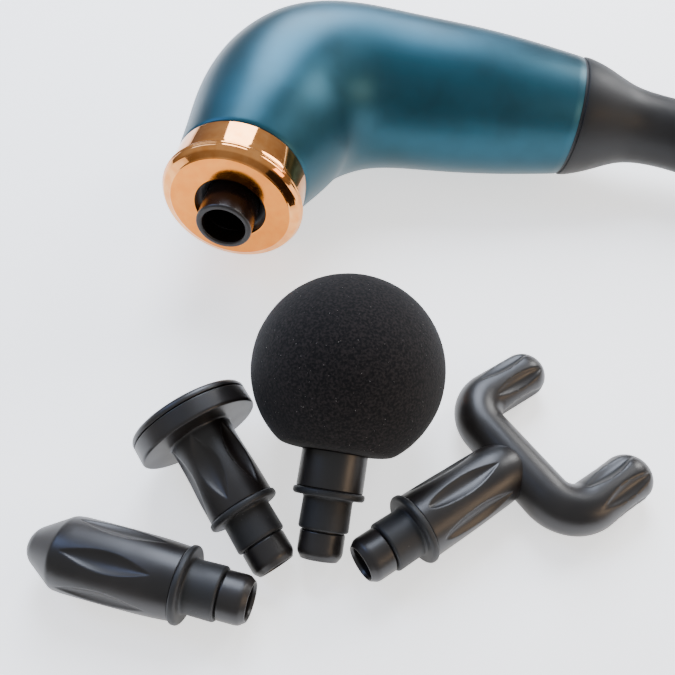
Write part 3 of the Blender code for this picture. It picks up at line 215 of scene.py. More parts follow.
# %% [markdown]
# ## Finishes of the gun
# The elbow is aluminium, bead-blasted and anodised teal. Blasting leaves pits about 0.05 mm wide,
# too fine to see one by one, so they show as a soft, wide highlight. The pattern here is drawn
# near 0.25 mm, as coarse as it needs to be to catch the light.

# %% Anodised aluminium
anodised_teal, tree, shader = new_finish("anodised_aluminium_teal", "#18434F", 0.4, Metallic=0.8)
clouded(tree, shader, grain(tree, 45.0, 3.0), "#16424F", "#1D4E5E", 0.40, 0.46)
relief(tree, shader, grain(tree, 4000.0, 1.0), 0.004 * MM)
shader.inputs["Coat Weight"].default_value = 0.14
shader.inputs["Coat Roughness"].default_value = 0.35
print("made", anodised_teal.name)

# %% [markdown]
# The mouth has a rose-gold plating, which copies what lies under it: polished sides come out as
# mirrors, and the blasted front face comes out satin. One recipe with two roughness values makes
# both.

# %% Rose-gold plating
def rose_gold(name, low, high, colour, dark):
    finish, tree, shader = new_finish(name, colour, low, Metallic=1.0)
    clouded(tree, shader, grain(tree, 260.0, 2.0), dark, colour, low, high)
    relief(tree, shader, grain(tree, 2500.0, 1.0), high * 0.006 * MM)
    return finish


rose_mirror = rose_gold("rose_gold_plating_polished", 0.04, 0.08, "#EBA15E", "#DE8F4A")
rose_satin = rose_gold("rose_gold_plating_blasted", 0.13, 0.17, "#DC8636", "#D47C2E")
print("made", rose_mirror.name, "and", rose_satin.name)

# %% [markdown]
# The grip is moulded plastic under a sprayed soft-touch coat. It scatters light widely, with a
# faint bloom at grazing angles that a little sheen gives. Its orange-peel is about 0.4 mm.

# %% Soft-touch coat
soft_touch, tree, shader = new_finish("soft_touch_coated_plastic", "#121213", 0.52, Specular_IOR_Level=0.3,
                                      Sheen_Weight=0.08, Sheen_Roughness=0.5)
clouded(tree, shader, grain(tree, 120.0, 3.0), "#0F0F10", "#151516", 0.46, 0.56)
relief(tree, shader, grain(tree, 2500.0, 2.0), 0.012 * MM)
print("made", soft_touch.name)

# %% [markdown]
# The plunger is brown-black acetal, glossy where the guide polishes it and duller on its rim.
# Moulded plastics share one recipe: a cloud of slightly unlike tone, a roughness that wanders,
# and a fine spark-eroded texture from the mould.

# %% Moulded plastics
def moulded(name, dark, light, low, high, texture=0.006, pitch=3000.0):
    finish, tree, shader = new_finish(name, dark, low)
    clouded(tree, shader, grain(tree, 90.0, 3.0), dark, light, low, high)
    relief(tree, shader, grain(tree, pitch, 1.0), texture * MM)
    return finish


acetal = moulded("acetal_brown_black_turned", "#0D0706", "#140B09", 0.24, 0.32, 0.003)
acetal_rim = moulded("acetal_brown_black_worn", "#120C0A", "#1A1311", 0.5, 0.6)
cap_plastic = moulded("abs_black_moulded", "#202022", "#262628", 0.45, 0.55, 0.01)
button_plastic = moulded("abs_black_polished", "#19191B", "#1F1F21", 0.2, 0.28, 0.002)
inner_plastic = moulded("nylon_grey_moulded", "#2C2D30", "#35363A", 0.5, 0.6, 0.01)
head_plastic = moulded("abs_head_satin_moulded", "#0F0B0A", "#17120F", 0.33, 0.41, 0.004)
print("made six moulded plastics")

# %% [markdown]
# The heads' sleeves are silicone rubber: matt, slightly grey, and always a little dusty. The dust
# is a Voronoi pattern of cells about 1.2 mm apart, cut so high that only the odd centre shows.

# %% Rubber with dust
def dusty_rubber(name, dark, light, dust, pitch, size):
    finish, tree, shader = new_finish(name, dark, 0.6, Sheen_Weight=0.03, Sheen_Roughness=0.6)
    place = add(tree, "ShaderNodeTexCoord")
    specks = add(tree, "ShaderNodeTexVoronoi", None, {"Vector": place.outputs["Object"], "Scale": pitch})
    gate = add(tree, "ShaderNodeMath", {"operation": 'LESS_THAN'}, {0: specks, 1: size})
    chance = add(tree, "ShaderNodeSeparateColor", None, {"Color": specks.outputs["Color"]})
    rare = add(tree, "ShaderNodeMath", {"operation": 'GREATER_THAN'}, {0: chance.outputs["Red"], 1: 0.72})
    both = add(tree, "ShaderNodeMath", {"operation": 'MULTIPLY'}, {0: gate, 1: rare})
    cloud = grain(tree, 150.0, 3.0)
    skin = blend_colours(tree, cloud, dark, light)
    mixed = add(tree, "ShaderNodeMix", {"data_type": 'RGBA'},
                {"Factor": both, 6: skin, 7: linear(dust)})
    tree.links.new(mixed.outputs[2], shader.inputs["Base Color"])
    tree.links.new(between(tree, cloud, 0.5, 0.64), shader.inputs["Roughness"])
    relief(tree, shader, grain(tree, 1800.0, 2.0), 0.012 * MM)
    return finish


sleeve_rubber = dusty_rubber("silicone_rubber_black", "#080707", "#0D0C0C", "#484544", 800.0, 0.09)
seal_rubber = dusty_rubber("nitrile_rubber_black", "#0E0F12", "#141519", "#2A2A2C", 900.0, 0.05)
print("made", sleeve_rubber.name, "and", seal_rubber.name)

# %% [markdown]
# The ball is closed-cell foam, skinned in the mould and faintly open at the surface. Its cells are
# about 0.3 mm and are drawn at twice that, so that they show. Up close the colour flickers between
# charcoal and black, with a few pale fibres.

# %% Closed-cell foam
foam, tree, shader = new_finish("eva_foam_charcoal", "#060505", 0.95, Sheen_Weight=0.03, Sheen_Roughness=0.5,
                                Specular_IOR_Level=0.25)
cells = grain(tree, 1500.0, 3.0)
tint = blend_colours(tree, cells, "#020202", "#1F1A19", 0.4, 0.66)
tree.links.new(tint, shader.inputs["Base Color"])
relief(tree, shader, cells, 0.11 * MM)
fibre, fibre_tree, fibre_shader = new_finish("polyester_lint_pale", "#8A8580", 0.8)
lint = grain(fibre_tree, 400.0)
fibre_tree.links.new(blend_colours(fibre_tree, lint, "#5E5955", "#A8A29C"),
                     fibre_shader.inputs["Base Color"])
print("made", foam.name, "and", fibre.name)

# %% [markdown]
# ## Finishes inside
# The drive, the motor and the cells are out of sight, but each still gets the finish its trade
# would give it: ground steel, turned brass, enamelled wire. The metals keep their default index
# and differ in colour, roughness and lay.

# %% Metals of the drive
def worked_metal(name, dark, light, low, high, lay):
    """A bare metal. Lay stretches the tool marks, drawn 0.7 mm apart, coarser than real ones."""
    finish, tree, shader = new_finish(name, light, low, Metallic=1.0)
    marks = grain(tree, 1500.0, 3.0, lay)
    clouded(tree, shader, marks, dark, light, low, high)
    relief(tree, shader, marks, 0.003 * MM)
    return finish


ground_steel = worked_metal("bearing_steel_ground", "#A9A9AC", "#C4C4C8", 0.2, 0.32, (1.0, 0.06, 1.0))
black_steel = worked_metal("silicon_steel_blackened", "#3B3B3E", "#4A4A4E", 0.32, 0.45, (1.0, 1.0, 1.0))
milled_aluminium = worked_metal("aluminium_milled", "#BEBFC2", "#D3D4D6", 0.28, 0.4, (0.06, 1.0, 1.0))
turned_brass = worked_metal("brass_turned", "#C29A55", "#DDB66C", 0.18, 0.3, (0.06, 1.0, 1.0))
enamelled_copper = worked_metal("copper_wire_enamelled", "#8E3F18", "#C8683A", 0.25, 0.38, (1.0, 0.2, 1.0))
socket_steel = worked_metal("nickel_plated_brass", "#B9B6AE", "#D2CFC6", 0.16, 0.24, (1.0, 1.0, 1.0))

cell_wrap = moulded("pvc_shrink_wrap_blue", "#123E86", "#1A4E9E", 0.22, 0.32, 0.004, 400.0)
solder_mask = moulded("glass_epoxy_green_solder_mask", "#0E3F22", "#17552F", 0.28, 0.4, 0.02, 700.0)
diffuser = moulded("polycarbonate_milky", "#D8E2E8", "#E8F0F4", 0.18, 0.25, 0.002)
print("made metals, wrap, board and lens finishes")

# %% [markdown]
# ## From outlines to solids
# Most of these parts are turned or come out of a round mould, so one helper spins a profile into
# rings of points. Corners are rounded in the profile first, since no real edge is sharp, and the
# highlight along a small radius tells the eye that a thing is solid.

# %% Profiles
CRISP_ANGLE = math.radians(40.0)


def rounded(corners, detail=5):
    """Rounds a profile's corners; each corner is (radius, height, rounding) in millimetres."""
    points = []
    last = len(corners) - 1
    for index, (radius, height, rounding) in enumerate(corners):
        here = Vector((radius, height))
        if rounding <= 0.0 or index in (0, last):
            points.append(here)
            continue
        before = Vector(corners[index - 1][:2]) - here
        after = Vector(corners[index + 1][:2]) - here
        reach = min(rounding, before.length * 0.49, after.length * 0.49)
        start = here + before.normalized() * reach
        end = here + after.normalized() * reach
        for step in range(detail + 1):
            share = step / detail
            points.append(start.lerp(here, share).lerp(here.lerp(end, share), share))
    return [(point.x * MM, point.y * MM) for point in points]


def finely(points, pitch):
    """Adds points along a profile until none are further apart than pitch millimetres."""
    filled = [points[0]]
    for (near_r, near_h), (far_r, far_h) in zip(points, points[1:]):
        count = max(1, math.ceil(math.hypot(far_r - near_r, far_h - near_h) / (pitch * MM)))
        for step in range(1, count + 1):
            share = step / count
            filled.append((near_r + (far_r - near_r) * share, near_h + (far_h - near_h) * share))
    return filled


def mesh_of(bm, name):
    """Turns a working bmesh into a mesh and frees it."""
    mesh = bpy.data.meshes.new(name)
    bm.to_mesh(mesh)
    bm.free()
    return mesh


def smoothed(mesh):
    """Shades a mesh smooth, with its corners left crisp."""
    mesh.shade_smooth()
    mesh.set_sharp_from_angle(angle=CRISP_ANGLE)
    return mesh


def ring_skin(name, rings, closed=False):
    """Joins rings of points into one skin; a ring of one point closes the end as a pole."""
    bm = bmesh.new()
    rows = [[bm.verts.new(point) for point in ring] for ring in rings]
    links = list(zip(rows, rows[1:]))
    if closed:
        links.append((rows[-1], rows[0]))
    for near, far in links:
        count = max(len(near), len(far))
        for step in range(count):
            after = (step + 1) % count
            corners = (near[step % len(near)], near[after % len(near)],
                       far[after % len(far)], far[step % len(far)])
            bm.faces.new(list(dict.fromkeys(corners)))
    bmesh.ops.recalc_face_normals(bm, faces=bm.faces)
    return smoothed(mesh_of(bm, name))


def spun(name, profile, place, steps=128, carve=None):
    """Spins a profile about the place's +Z. A carve gives the depth to take off at a point."""
    rings = []
    for radius, height in profile:
        if radius < 0.01 * MM:
            rings.append([place @ Vector((0.0, 0.0, height))])
            continue
        ring = []
        for step in range(steps):
            angle = math.tau * step / steps
            reach = radius - (carve(angle, height, radius) if carve else 0.0)
            ring.append(place @ Vector((reach * math.cos(angle), reach * math.sin(angle), height)))
        rings.append(ring)
    loose_end = len(rings[0]) > 1 and len(rings[-1]) > 1
    return ring_skin(name, rings, closed=loose_end)


def plain_pin(name, radius, top, bottom, place, steps=32):
    """A plain cylinder between two heights, in millimetres, that drills a hole."""
    corners = [(0, top, 0), (radius, top, 0), (radius, bottom, 0), (0, bottom, 0)]
    return spun(name, rounded(corners), place, steps)


# %% [markdown]
# A finished mesh becomes a piece once three things are said of it: which body carries it, which
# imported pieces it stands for, and which finish it takes. One helper says all three.

# %% Pieces
shown = []


def in_scene(name, data):
    """A new object that shows the data, linked to the scene."""
    item = bpy.data.objects.new(name, data)
    bpy.context.scene.collection.objects.link(item)
    return item


def finish_piece(name, mesh, materials, body, stands_for):
    piece = in_scene(name, mesh)
    for number, material in enumerate(materials):
        if number < len(mesh.materials):
            mesh.materials[number] = material
        else:
            mesh.materials.append(material)
    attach(piece, body)
    if stands_for:
        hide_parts(*stands_for)
    shown.append(name)
    return piece


def turned_piece(name, profile, place, finish, body, node, steps=128, carve=None):
    """Spins a profile into a piece of one finish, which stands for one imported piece."""
    mesh = spun(name, profile, place, steps, carve)
    finish_piece(name, mesh, [finish], body, [node])
    return mesh


def dress_faces(mesh, material_index, chosen):
    """Gives a material slot to the faces whose centre passes a test."""
    for face in mesh.polygons:
        if chosen(face.center):
            face.material_index = material_index


def evaluated_mesh(item, name):
    """The mesh that an object's modifiers make, free of the object, which is removed."""
    bpy.context.view_layer.update()
    mesh = bpy.data.meshes.new_from_object(item.evaluated_get(bpy.context.evaluated_depsgraph_get()))
    mesh.name = name
    bpy.data.objects.remove(item, do_unlink=True)
    return mesh


def joined(name, base, others, operation):
    """Cuts other meshes out of a base mesh, or joins them to it, with exact Booleans."""
    target = in_scene(name, base)
    tools = [in_scene(name + "_tool", other) for other in others]
    for tool in tools:
        boolean = target.modifiers.new("Shape", 'BOOLEAN')
        boolean.operation = operation
        boolean.solver = 'EXACT'
        boolean.object = tool
    mesh = evaluated_mesh(target, name)
    for tool in tools:
        bpy.data.objects.remove(tool, do_unlink=True)
    return smoothed(mesh)


# %% [markdown]
# ## The elbow
# The real elbow is one seamless casting: a head tube, a swelling bend and a barrel that tapers to
# the grip. It could be sculpted, but its outline is a clear rule, so it is lofted. Key sections
# are set where the shape changes, and a cubic B-spline follows their centres, turns and radii,
# which keeps the highlight unbroken all along.

# %% Lofting
LOFT_STEPS = 120                    # stations along the elbow, and again along the grip
EVERY_FOURTH = 4                    # the inner skins need fewer


def spline_stations(keys, count):
    """A uniform cubic B-spline through lists of equal length, held at its two ends."""
    first = [2.0 * a - b for a, b in zip(keys[0], keys[1])]
    last = [2.0 * a - b for a, b in zip(keys[-1], keys[-2])]
    line = [first] + [list(key) for key in keys] + [last]
    spans = len(keys) - 1
    stations = []
    for step in range(count + 1):
        where = spans * step / count
        span = min(int(where), spans - 1)
        t = where - span
        weights = ((1.0 - t) ** 3 / 6.0, (3.0 * t ** 3 - 6.0 * t ** 2 + 4.0) / 6.0,
                   (-3.0 * t ** 3 + 3.0 * t ** 2 + 3.0 * t + 1.0) / 6.0, t ** 3 / 6.0)
        stations.append([sum(weight * line[span + row][column] for row, weight in enumerate(weights))
                         for column in range(len(keys[0]))])
    return stations


def loft_rings(stations, inset, steps=128):
    """Rings square to each station (x, y, turn, radius), in the gun's frame."""
    rings = []
    for x, y, turn, radius in stations:
        side = Vector((math.cos(turn), -math.sin(turn), 0.0))
        ring = []
        for step in range(steps):
            angle = math.tau * step / steps
            reach = radius - inset
            ring.append(Vector((x, y, 0.0)) + side * (reach * math.cos(angle))
                        + Vector((0.0, 0.0, reach * math.sin(angle))))
        rings.append(ring)
    return rings


def lofted_shell(name, stations, wall, lip):
    """A closed shell: the outer skin, the inner skin and a small rounded lip at each end."""
    outer = loft_rings(stations, 0.0)
    ends = [stations[0], stations[-1]]
    first_in, last_in = loft_rings(ends, lip)
    inner_first, inner_last = loft_rings(ends, wall)
    way_in = Vector((math.sin(stations[0][2]), math.cos(stations[0][2]), 0.0)) * lip
    way_out = Vector((math.sin(stations[-1][2]), math.cos(stations[-1][2]), 0.0)) * lip
    head = [point + way_in for point in outer[0]]
    tail = [point - way_out for point in outer[-1]]
    inner = loft_rings(stations[::EVERY_FOURTH][1:-1], wall)
    rings = [first_in, head] + outer[2:-2] + [tail, last_in, inner_last] + inner[::-1] + [inner_first]
    placed = [[GUN @ point for point in ring] for ring in rings]
    return ring_skin(name, placed, closed=True)


# %% [markdown]
# The sizes below are the casting's own: where the head tube's two sides run, the radius of the
# inside corner, and how the barrel tapers. Five keys go round the bend, two stand in front of it
# and three behind. The bend swells a little between them, as a hand expects.

# %% The elbow's key sections
SHELL_WALL = 2.2 * MM
SHELL_LIP = 0.25 * MM
RING_DEPTH = 16.0 * MM              # from the front ring's face to the elbow
SEAT = 0.3 * MM
RING_RADIUS = 22.9 * MM
INNER_X = 31.6 * MM
OUTER_X = -24.1 * MM
FILLET = 16.5 * MM
BARREL_NEAR = 51.4 * MM
BARREL_START = 29.0 * MM
BARREL_END = 22.2 * MM
BARREL_LENGTH = 67.8 * MM
TAPER_POWER = 1.8
SWELL = 5.1 * MM

tube_radius = (INNER_X - OUTER_X) / 2.0
tube_x = (INNER_X + OUTER_X) / 2.0
fillet_x = INNER_X + FILLET
fillet_y = BARREL_NEAR - FILLET
barrel_y = BARREL_NEAR + BARREL_START
elbow_keys = []
for share in (0.0, 0.5):
    elbow_keys.append((tube_x * share, RING_DEPTH + SEAT + (fillet_y - RING_DEPTH - SEAT) * share, 0.0,
                       RING_RADIUS + (tube_radius - RING_RADIUS) * share))
for degrees in (0, 22, 45, 68, 90):
    turn = math.radians(degrees)
    radius = tube_radius + (BARREL_START - tube_radius) * degrees / 90.0
    radius += SWELL * abs(math.sin(2.0 * turn)) ** 1.5
    reach = FILLET + radius
    elbow_keys.append((fillet_x - reach * math.cos(turn), fillet_y + reach * math.sin(turn), turn, radius))
for share in (0.35, 0.7, 1.0):
    radius = BARREL_START + (BARREL_END - BARREL_START) * share ** TAPER_POWER
    elbow_keys.append((fillet_x + BARREL_LENGTH * share, barrel_y, QUARTER, radius))
elbow = lofted_shell("elbow_shell", spline_stations(elbow_keys, LOFT_STEPS), SHELL_WALL, SHELL_LIP)
finish_piece("elbow_shell", elbow, [anodised_teal], "gun", ["body_shell"])
print("elbow:", len(elbow.polygons), "faces")

# %% [markdown]
# ## The grip
# The grip meets the barrel at a thin dark line. It falls quickly through a shoulder to a neck that
# two fingers close round, then fills out towards the base. Its rule is a radius against distance
# along a gently bent centre line, walked in short steps.

# %% The grip
JOINT_GAP = 1.1 * MM
GRIP_WALL, GRIP_LIP = 2.4 * MM, 0.3 * MM
GRIP_START = fillet_x + BARREL_LENGTH + JOINT_GAP
SHOULDER, SHOULDER_START, NECK = 31.0 * MM, 2.0 * MM, 14.0 * MM
SWELL_LENGTH, BACK_LENGTH = 80.0 * MM, 28.0 * MM
NECK_RADIUS, GRIP_RADIUS, GRIP_END = 12.6 * MM, 18.2 * MM, 17.0 * MM
GRIP_BEND = math.radians(17.6)
BEND_START, BEND_LENGTH = 15.0 * MM, 45.0 * MM
WALK_STEPS = 60
GRIP_LENGTH = SHOULDER + NECK + SWELL_LENGTH + BACK_LENGTH


def smooth_step(value):
    value = min(max(value, 0.0), 1.0)
    return value * value * (3.0 - 2.0 * value)


def grip_radius(distance):
    if distance < SHOULDER:
        share = max(distance - SHOULDER_START, 0.0) / (SHOULDER - SHOULDER_START)
        return BARREL_END + (NECK_RADIUS - BARREL_END) * smooth_step(share ** 0.85)
    fullest = SHOULDER + NECK + SWELL_LENGTH
    if distance < fullest:
        swell = smooth_step((distance - SHOULDER - NECK) / SWELL_LENGTH)
        return NECK_RADIUS + (GRIP_RADIUS - NECK_RADIUS) * swell
    return GRIP_RADIUS + (GRIP_END - GRIP_RADIUS) * ((distance - fullest) / BACK_LENGTH) ** 2


def grip_turn(distance):
    return QUARTER + GRIP_BEND * smooth_step((distance - BEND_START) / BEND_LENGTH)


def grip_centre(distance):
    x, y = GRIP_START, barrel_y
    stride = distance / WALK_STEPS
    for step in range(WALK_STEPS):
        turn = grip_turn(stride * (step + 0.5))
        x += stride * math.sin(turn)
        y += stride * math.cos(turn)
    return x, y


grip_keys = []
grip_places = [0.0, SHOULDER_START]
grip_places += [SHOULDER * share for share in (0.3, 0.55, 0.8)]
rest = GRIP_LENGTH - SHOULDER - NECK
grip_places += [SHOULDER + NECK + rest * share for share in (-0.05, 0.18, 0.42, 0.66, 0.85, 1.0)]
for distance in grip_places:
    grip_keys.append((*grip_centre(distance), grip_turn(distance), grip_radius(distance)))
grip = lofted_shell("grip_skin", spline_stations(grip_keys, LOFT_STEPS), GRIP_WALL, GRIP_LIP)
finish_piece("grip_skin", grip, [soft_touch], "gun", ["grip_sleeve"])
GASKET_BACK = 0.8 * MM
gasket_place = GUN @ Matrix.Translation((GRIP_START - GASKET_BACK, barrel_y, 0.0)) @ ALONG_BARREL
gasket_profile = rounded([(19.8, 0.74, 0), (21.6, 0.74, 0.15), (21.6, -0.24, 0.15), (19.8, -0.24, 0)], 3)
turned_piece("joint_gasket_ring", gasket_profile, gasket_place, seal_rubber, "gun", "joint_gasket")
print("grip:", len(grip.polygons), "faces")

# %% [markdown]
# ## The mouth
# Two rose-gold turnings: a plain band against the elbow, and a front ring that stands a little
# proud of it. The front ring's side is coned and ends in a fine raised lip, which split the
# reflections, and its face is blasted flat.

# %% Band and front ring
band_profile = rounded([(18.3, -4.9, 0), (22.6, -4.9, 0.25), (22.75, -5.4, 0.2), (22.9, -6.4, 0.3),
                        (22.95, -15.6, 0.3), (22.6, -16.0, 0.15), (20.2, -16.0, 0), (20.2, -22.0, 0.3),
                        (18.5, -22.0, 0.3), (18.5, -5.2, 0)], 6)
band = turned_piece("mouth_band", band_profile, MOUTH, rose_mirror, "gun", "ring_band", 192)

front_profile = rounded([(11.9, -2.6, 0.1), (11.9, 0.0, 0.45), (20.1, 0.0, 0.25), (20.45, -0.3, 0.2),
                         (22.7, -1.35, 0.5), (23.55, -2.6, 0.5), (23.6, -3.2, 0.2), (23.9, -3.45, 0.2),
                         (23.9, -4.1, 0.25), (23.5, -4.4, 0.2), (18.2, -4.4, 0), (18.2, -6.9, 0.2),
                         (16.6, -6.9, 0.2), (16.6, -2.6, 0), (11.95, -2.6, 0)], 6)
front = spun("mouth_ring", front_profile, MOUTH, 192)
to_mouth = MOUTH.inverted()
FACE_DEPTH, FACE_EDGE = -0.05 * MM, 20.1 * MM
dress_faces(front, 1, lambda centre: (to_mouth @ centre).z > FACE_DEPTH
            and (to_mouth @ centre).xy.length < FACE_EDGE)
finish_piece("mouth_ring", front, [rose_mirror, rose_satin], "gun", ["front_bezel"])

seal_profile = rounded([(13.1, -2.9, 0), (13.1, -4.7, 0), (9.45, -4.7, 0.3), (9.4, -4.0, 0.3),
                        (10.3, -3.2, 0.4), (11.0, -2.9, 0.2), (13.1, -2.9, 0)], 4)[:-1]
turned_piece("plunger_seal", seal_profile, MOUTH, seal_rubber, "gun", "dust_seal")
print("mouth:", len(band.polygons) + len(front.polygons), "faces")

# %% [markdown]
# The plunger is a thick tube, open in front for a head's plug and slotted behind for the rod. It
# is spun with its rounded rim and the detent groove in its bore, and then Booleans cut the slot
# and the wrist pin's hole, as a mill and a drill would. Its rim has worn duller.

# %% The plunger
plunger_profile = rounded([(0.0, -11.0, 0), (6.6, -11.0, 0.5), (7.1, -10.2, 0.2), (7.1, 2.2, 0.2),
                           (7.35, 2.6, 0.2), (7.35, 3.4, 0.2), (7.1, 3.8, 0.2), (7.1, 8.4, 0.3),
                           (7.5, 9.0, 0.35), (8.7, 9.0, 0.4), (9.15, 8.5, 0.4), (9.15, -40.5, 0.4),
                           (8.7, -41.0, 0), (0.0, -41.0, 0)], 5)
plunger_solid = spun("plunger_tube", plunger_profile, MOUTH, 128)


def box_mesh(name, size, place):
    bm = bmesh.new()
    bmesh.ops.create_cube(bm, size=1.0, matrix=place @ Matrix.Diagonal((*size, 1.0)))
    return mesh_of(bm, name)


ROD_SLOT = (7.6 * MM, 30.0 * MM, 40.0 * MM)
ROD_SLOT_BACK, WRIST_BACK = 41.75, 34.0     # millimetres behind the front ring's face
rod_slot = box_mesh("rod_slot", ROD_SLOT, GUN @ shift(0, ROD_SLOT_BACK, 0))
pin_place = GUN @ shift(0, WRIST_BACK, 0) @ ALONG_BARREL
pin_hole = plain_pin("pin_hole", 2.75, 20, -20, pin_place)
plunger = joined("plunger_tube", plunger_solid, [rod_slot, pin_hole], 'DIFFERENCE')
WORN_FROM = 8.55 * MM               # the rim beyond this has worn duller
dress_faces(plunger, 1, lambda centre: (to_mouth @ centre).z > WORN_FROM)
finish_piece("plunger_tube", plunger, [acetal, acetal_rim], "plunger", ["plunger"])
print("plunger:", len(plunger.polygons), "faces")

# %% [markdown]
# ## The base of the grip
# The cap closes the grip's end and holds the only control, a round button in a milky light ring.
# It is a turned moulding, so it is spun, and the light groove, the screw recesses and the charging
# pocket are then cut into it.

# %% Base cap, button and light ring
base_x, base_y = grip_centre(GRIP_LENGTH)
base_way = -joint_axes["power_button_press"]
base_side = barrel_way.cross(Vector((0.0, 1.0, 0.0))).normalized()
BASE = frame_matrix(GUN @ Vector((base_x, base_y, 0.0)), base_side.cross(base_way), base_side, base_way)
CAP_FACE = 13.0                     # these two are in millimetres, as profiles are
SCREW_CIRCLE = 10.8
cap_profile = rounded([(5.25, CAP_FACE, 0), (13.0, CAP_FACE, 0.5), (15.83, 11.83, 3.2), (17.0, 9.0, 2.4),
                       (17.0, 0.3, 0.3), (11.05, 0.3, 0), (11.05, -5.0, 0.3), (9.6, -5.0, 0.3),
                       (9.6, 9.8, 0), (8.2, 10.8, 0), (5.25, 10.8, 0)], 6) + [(5.25 * MM, 12.6 * MM)]
cap = spun("base_cap_moulding", cap_profile, BASE, 128)
light_groove = spun("light_groove", rounded([(8.4, 14.0, 0), (8.4, 12.1, 0), (7.0, 12.1, 0), (7.0, 14.0, 0)]),
                    BASE, 96)
socket_pocket = box_mesh("socket_pocket", (9.5 * MM, 10.0 * MM, 4.4 * MM),
                         BASE @ shift(14.75, 0, 6.5))
recesses = []
for degrees in (90.0, 210.0, 330.0):
    spot = Matrix.Rotation(math.radians(degrees), 4, 'Z') @ shift(SCREW_CIRCLE, 0, 0)
    recesses.append(plain_pin("screw_recess", 1.5, 14, 11.7, BASE @ spot))
cap = joined("base_cap_moulding", cap, [light_groove, socket_pocket] + recesses, 'DIFFERENCE')
finish_piece("base_cap_moulding", cap, [cap_plastic], "gun", ["base_cap"])
light_profile = rounded([(7.25, 12.4, 0), (7.25, 13.1, 0.2), (8.15, 13.1, 0.2), (8.15, 12.4, 0)], 4)
turned_piece("light_ring_diffuser", light_profile[::-1], BASE, diffuser, "gun", "light_ring")
button_profile = rounded([(0, 13.45, 0), (2.6, 13.45, 1.0), (4.1, 13.75, 0.8), (5.0, 13.5, 0.5),
                          (5.0, 10.8, 0.2), (0, 10.8, 0)], 6)
button = turned_piece("power_button_cap", button_profile, BASE, button_plastic,
                      "power_button", "power_button", 96)
print("base:", len(cap.polygons) + len(button.polygons), "faces")

# %% [markdown]
# Three screws sit on a circle, which Geometry Nodes repeat well. The tree takes the screw, the
# circle's radius and a count as named inputs, puts a copy on each point of a mesh circle, and
# ends in Realize Instances and Set Material so that plain faces come out.

# %% Screws on a circle
def tree_with_inputs(name, inputs):
    """A new tree with one geometry output and the named inputs; returns it and their sockets."""
    tree = bpy.data.node_groups.new(name, 'GeometryNodeTree')
    tree.interface.new_socket("Geometry", in_out='OUTPUT', socket_type='NodeSocketGeometry')
    for label, kind in inputs.items():
        tree.interface.new_socket(label, in_out='INPUT', socket_type='NodeSocket' + kind)
    return tree, add(tree, "NodeGroupInput").outputs


def end_in_faces(tree, copies, finish):
    """Ends a tree: copies become real faces of one finish."""
    solid = add(tree, "GeometryNodeRealizeInstances", None, {"Geometry": copies})
    coloured = add(tree, "GeometryNodeSetMaterial", None, {"Geometry": solid, "Material": finish})
    add(tree, "NodeGroupOutput", None, {"Geometry": coloured})


def ring_of_copies_tree():
    tree, given = tree_with_inputs("copies_on_a_circle", {
        "Piece": "Object", "Copies": "Int", "Circle Radius": "Float", "First Angle": "Float",
        "Finish": "Material"})
    circle = add(tree, "GeometryNodeMeshCircle", None,
                 {"Vertices": given["Copies"], "Radius": given["Circle Radius"]})
    turn = add(tree, "ShaderNodeCombineXYZ", None, {"Z": given["First Angle"]})
    turned_circle = add(tree, "GeometryNodeTransform", None, {"Geometry": circle, "Rotation": turn})
    piece = add(tree, "GeometryNodeObjectInfo", {"transform_space": 'ORIGINAL'},
                {"Object": given["Piece"]})
    copies = add(tree, "GeometryNodeInstanceOnPoints", None,
                 {"Points": turned_circle, "Instance": piece.outputs["Geometry"]})
    end_in_faces(tree, copies, given["Finish"])
    return tree


def grown(name, tree, values, host=None):
    """Runs a node tree on a host mesh with named input values and returns the plain mesh."""
    item = in_scene(name, host or bpy.data.meshes.new(name))
    modifier = item.modifiers.new("Grow", 'NODES')
    modifier.node_group = tree
    for socket in tree.interface.items_tree:
        if socket.in_out == 'INPUT' and socket.name in values:
            modifier[socket.identifier] = values[socket.name]
    return evaluated_mesh(item, name)


screw_mesh = spun("cap_screw", rounded([(0, -0.4, 0), (0.62, -0.4, 0), (1.0, -0.42, 0.15), (1.1, -0.6, 0.1),
                                        (1.1, -1.0, 0), (0, -1.0, 0)], 3), Matrix.Identity(4), 24)
hexagon = plain_pin("hex_key", 0.5, 0, -0.75, Matrix.Identity(4), 6)
screw_mesh = joined("cap_screw", screw_mesh, [hexagon], 'DIFFERENCE')
screw_master = bpy.data.objects.new("cap_screw_master", screw_mesh)
screws = grown("cap_screws", ring_of_copies_tree(), {
    "Piece": screw_master, "Copies": 3, "Circle Radius": SCREW_CIRCLE * MM,
    "First Angle": QUARTER, "Finish": ground_steel})
screws.transform(BASE @ shift(0, 0, CAP_FACE))
bpy.data.objects.remove(screw_master)
finish_piece("cap_screws", screws, [ground_steel], "gun",
             ["cap_screw_1", "cap_screw_2", "cap_screw_3"])
print("screws:", len(screws.polygons), "faces")

# %% [markdown]
# ## The heads' plug ends
# All four heads share one plug: a moulded tip with a chamfered mouth, and a rubber sleeve that
# grips the plunger's bore, with a flange that seats on its rim. The hard tip shows below the
# rubber after a thin dark groove.

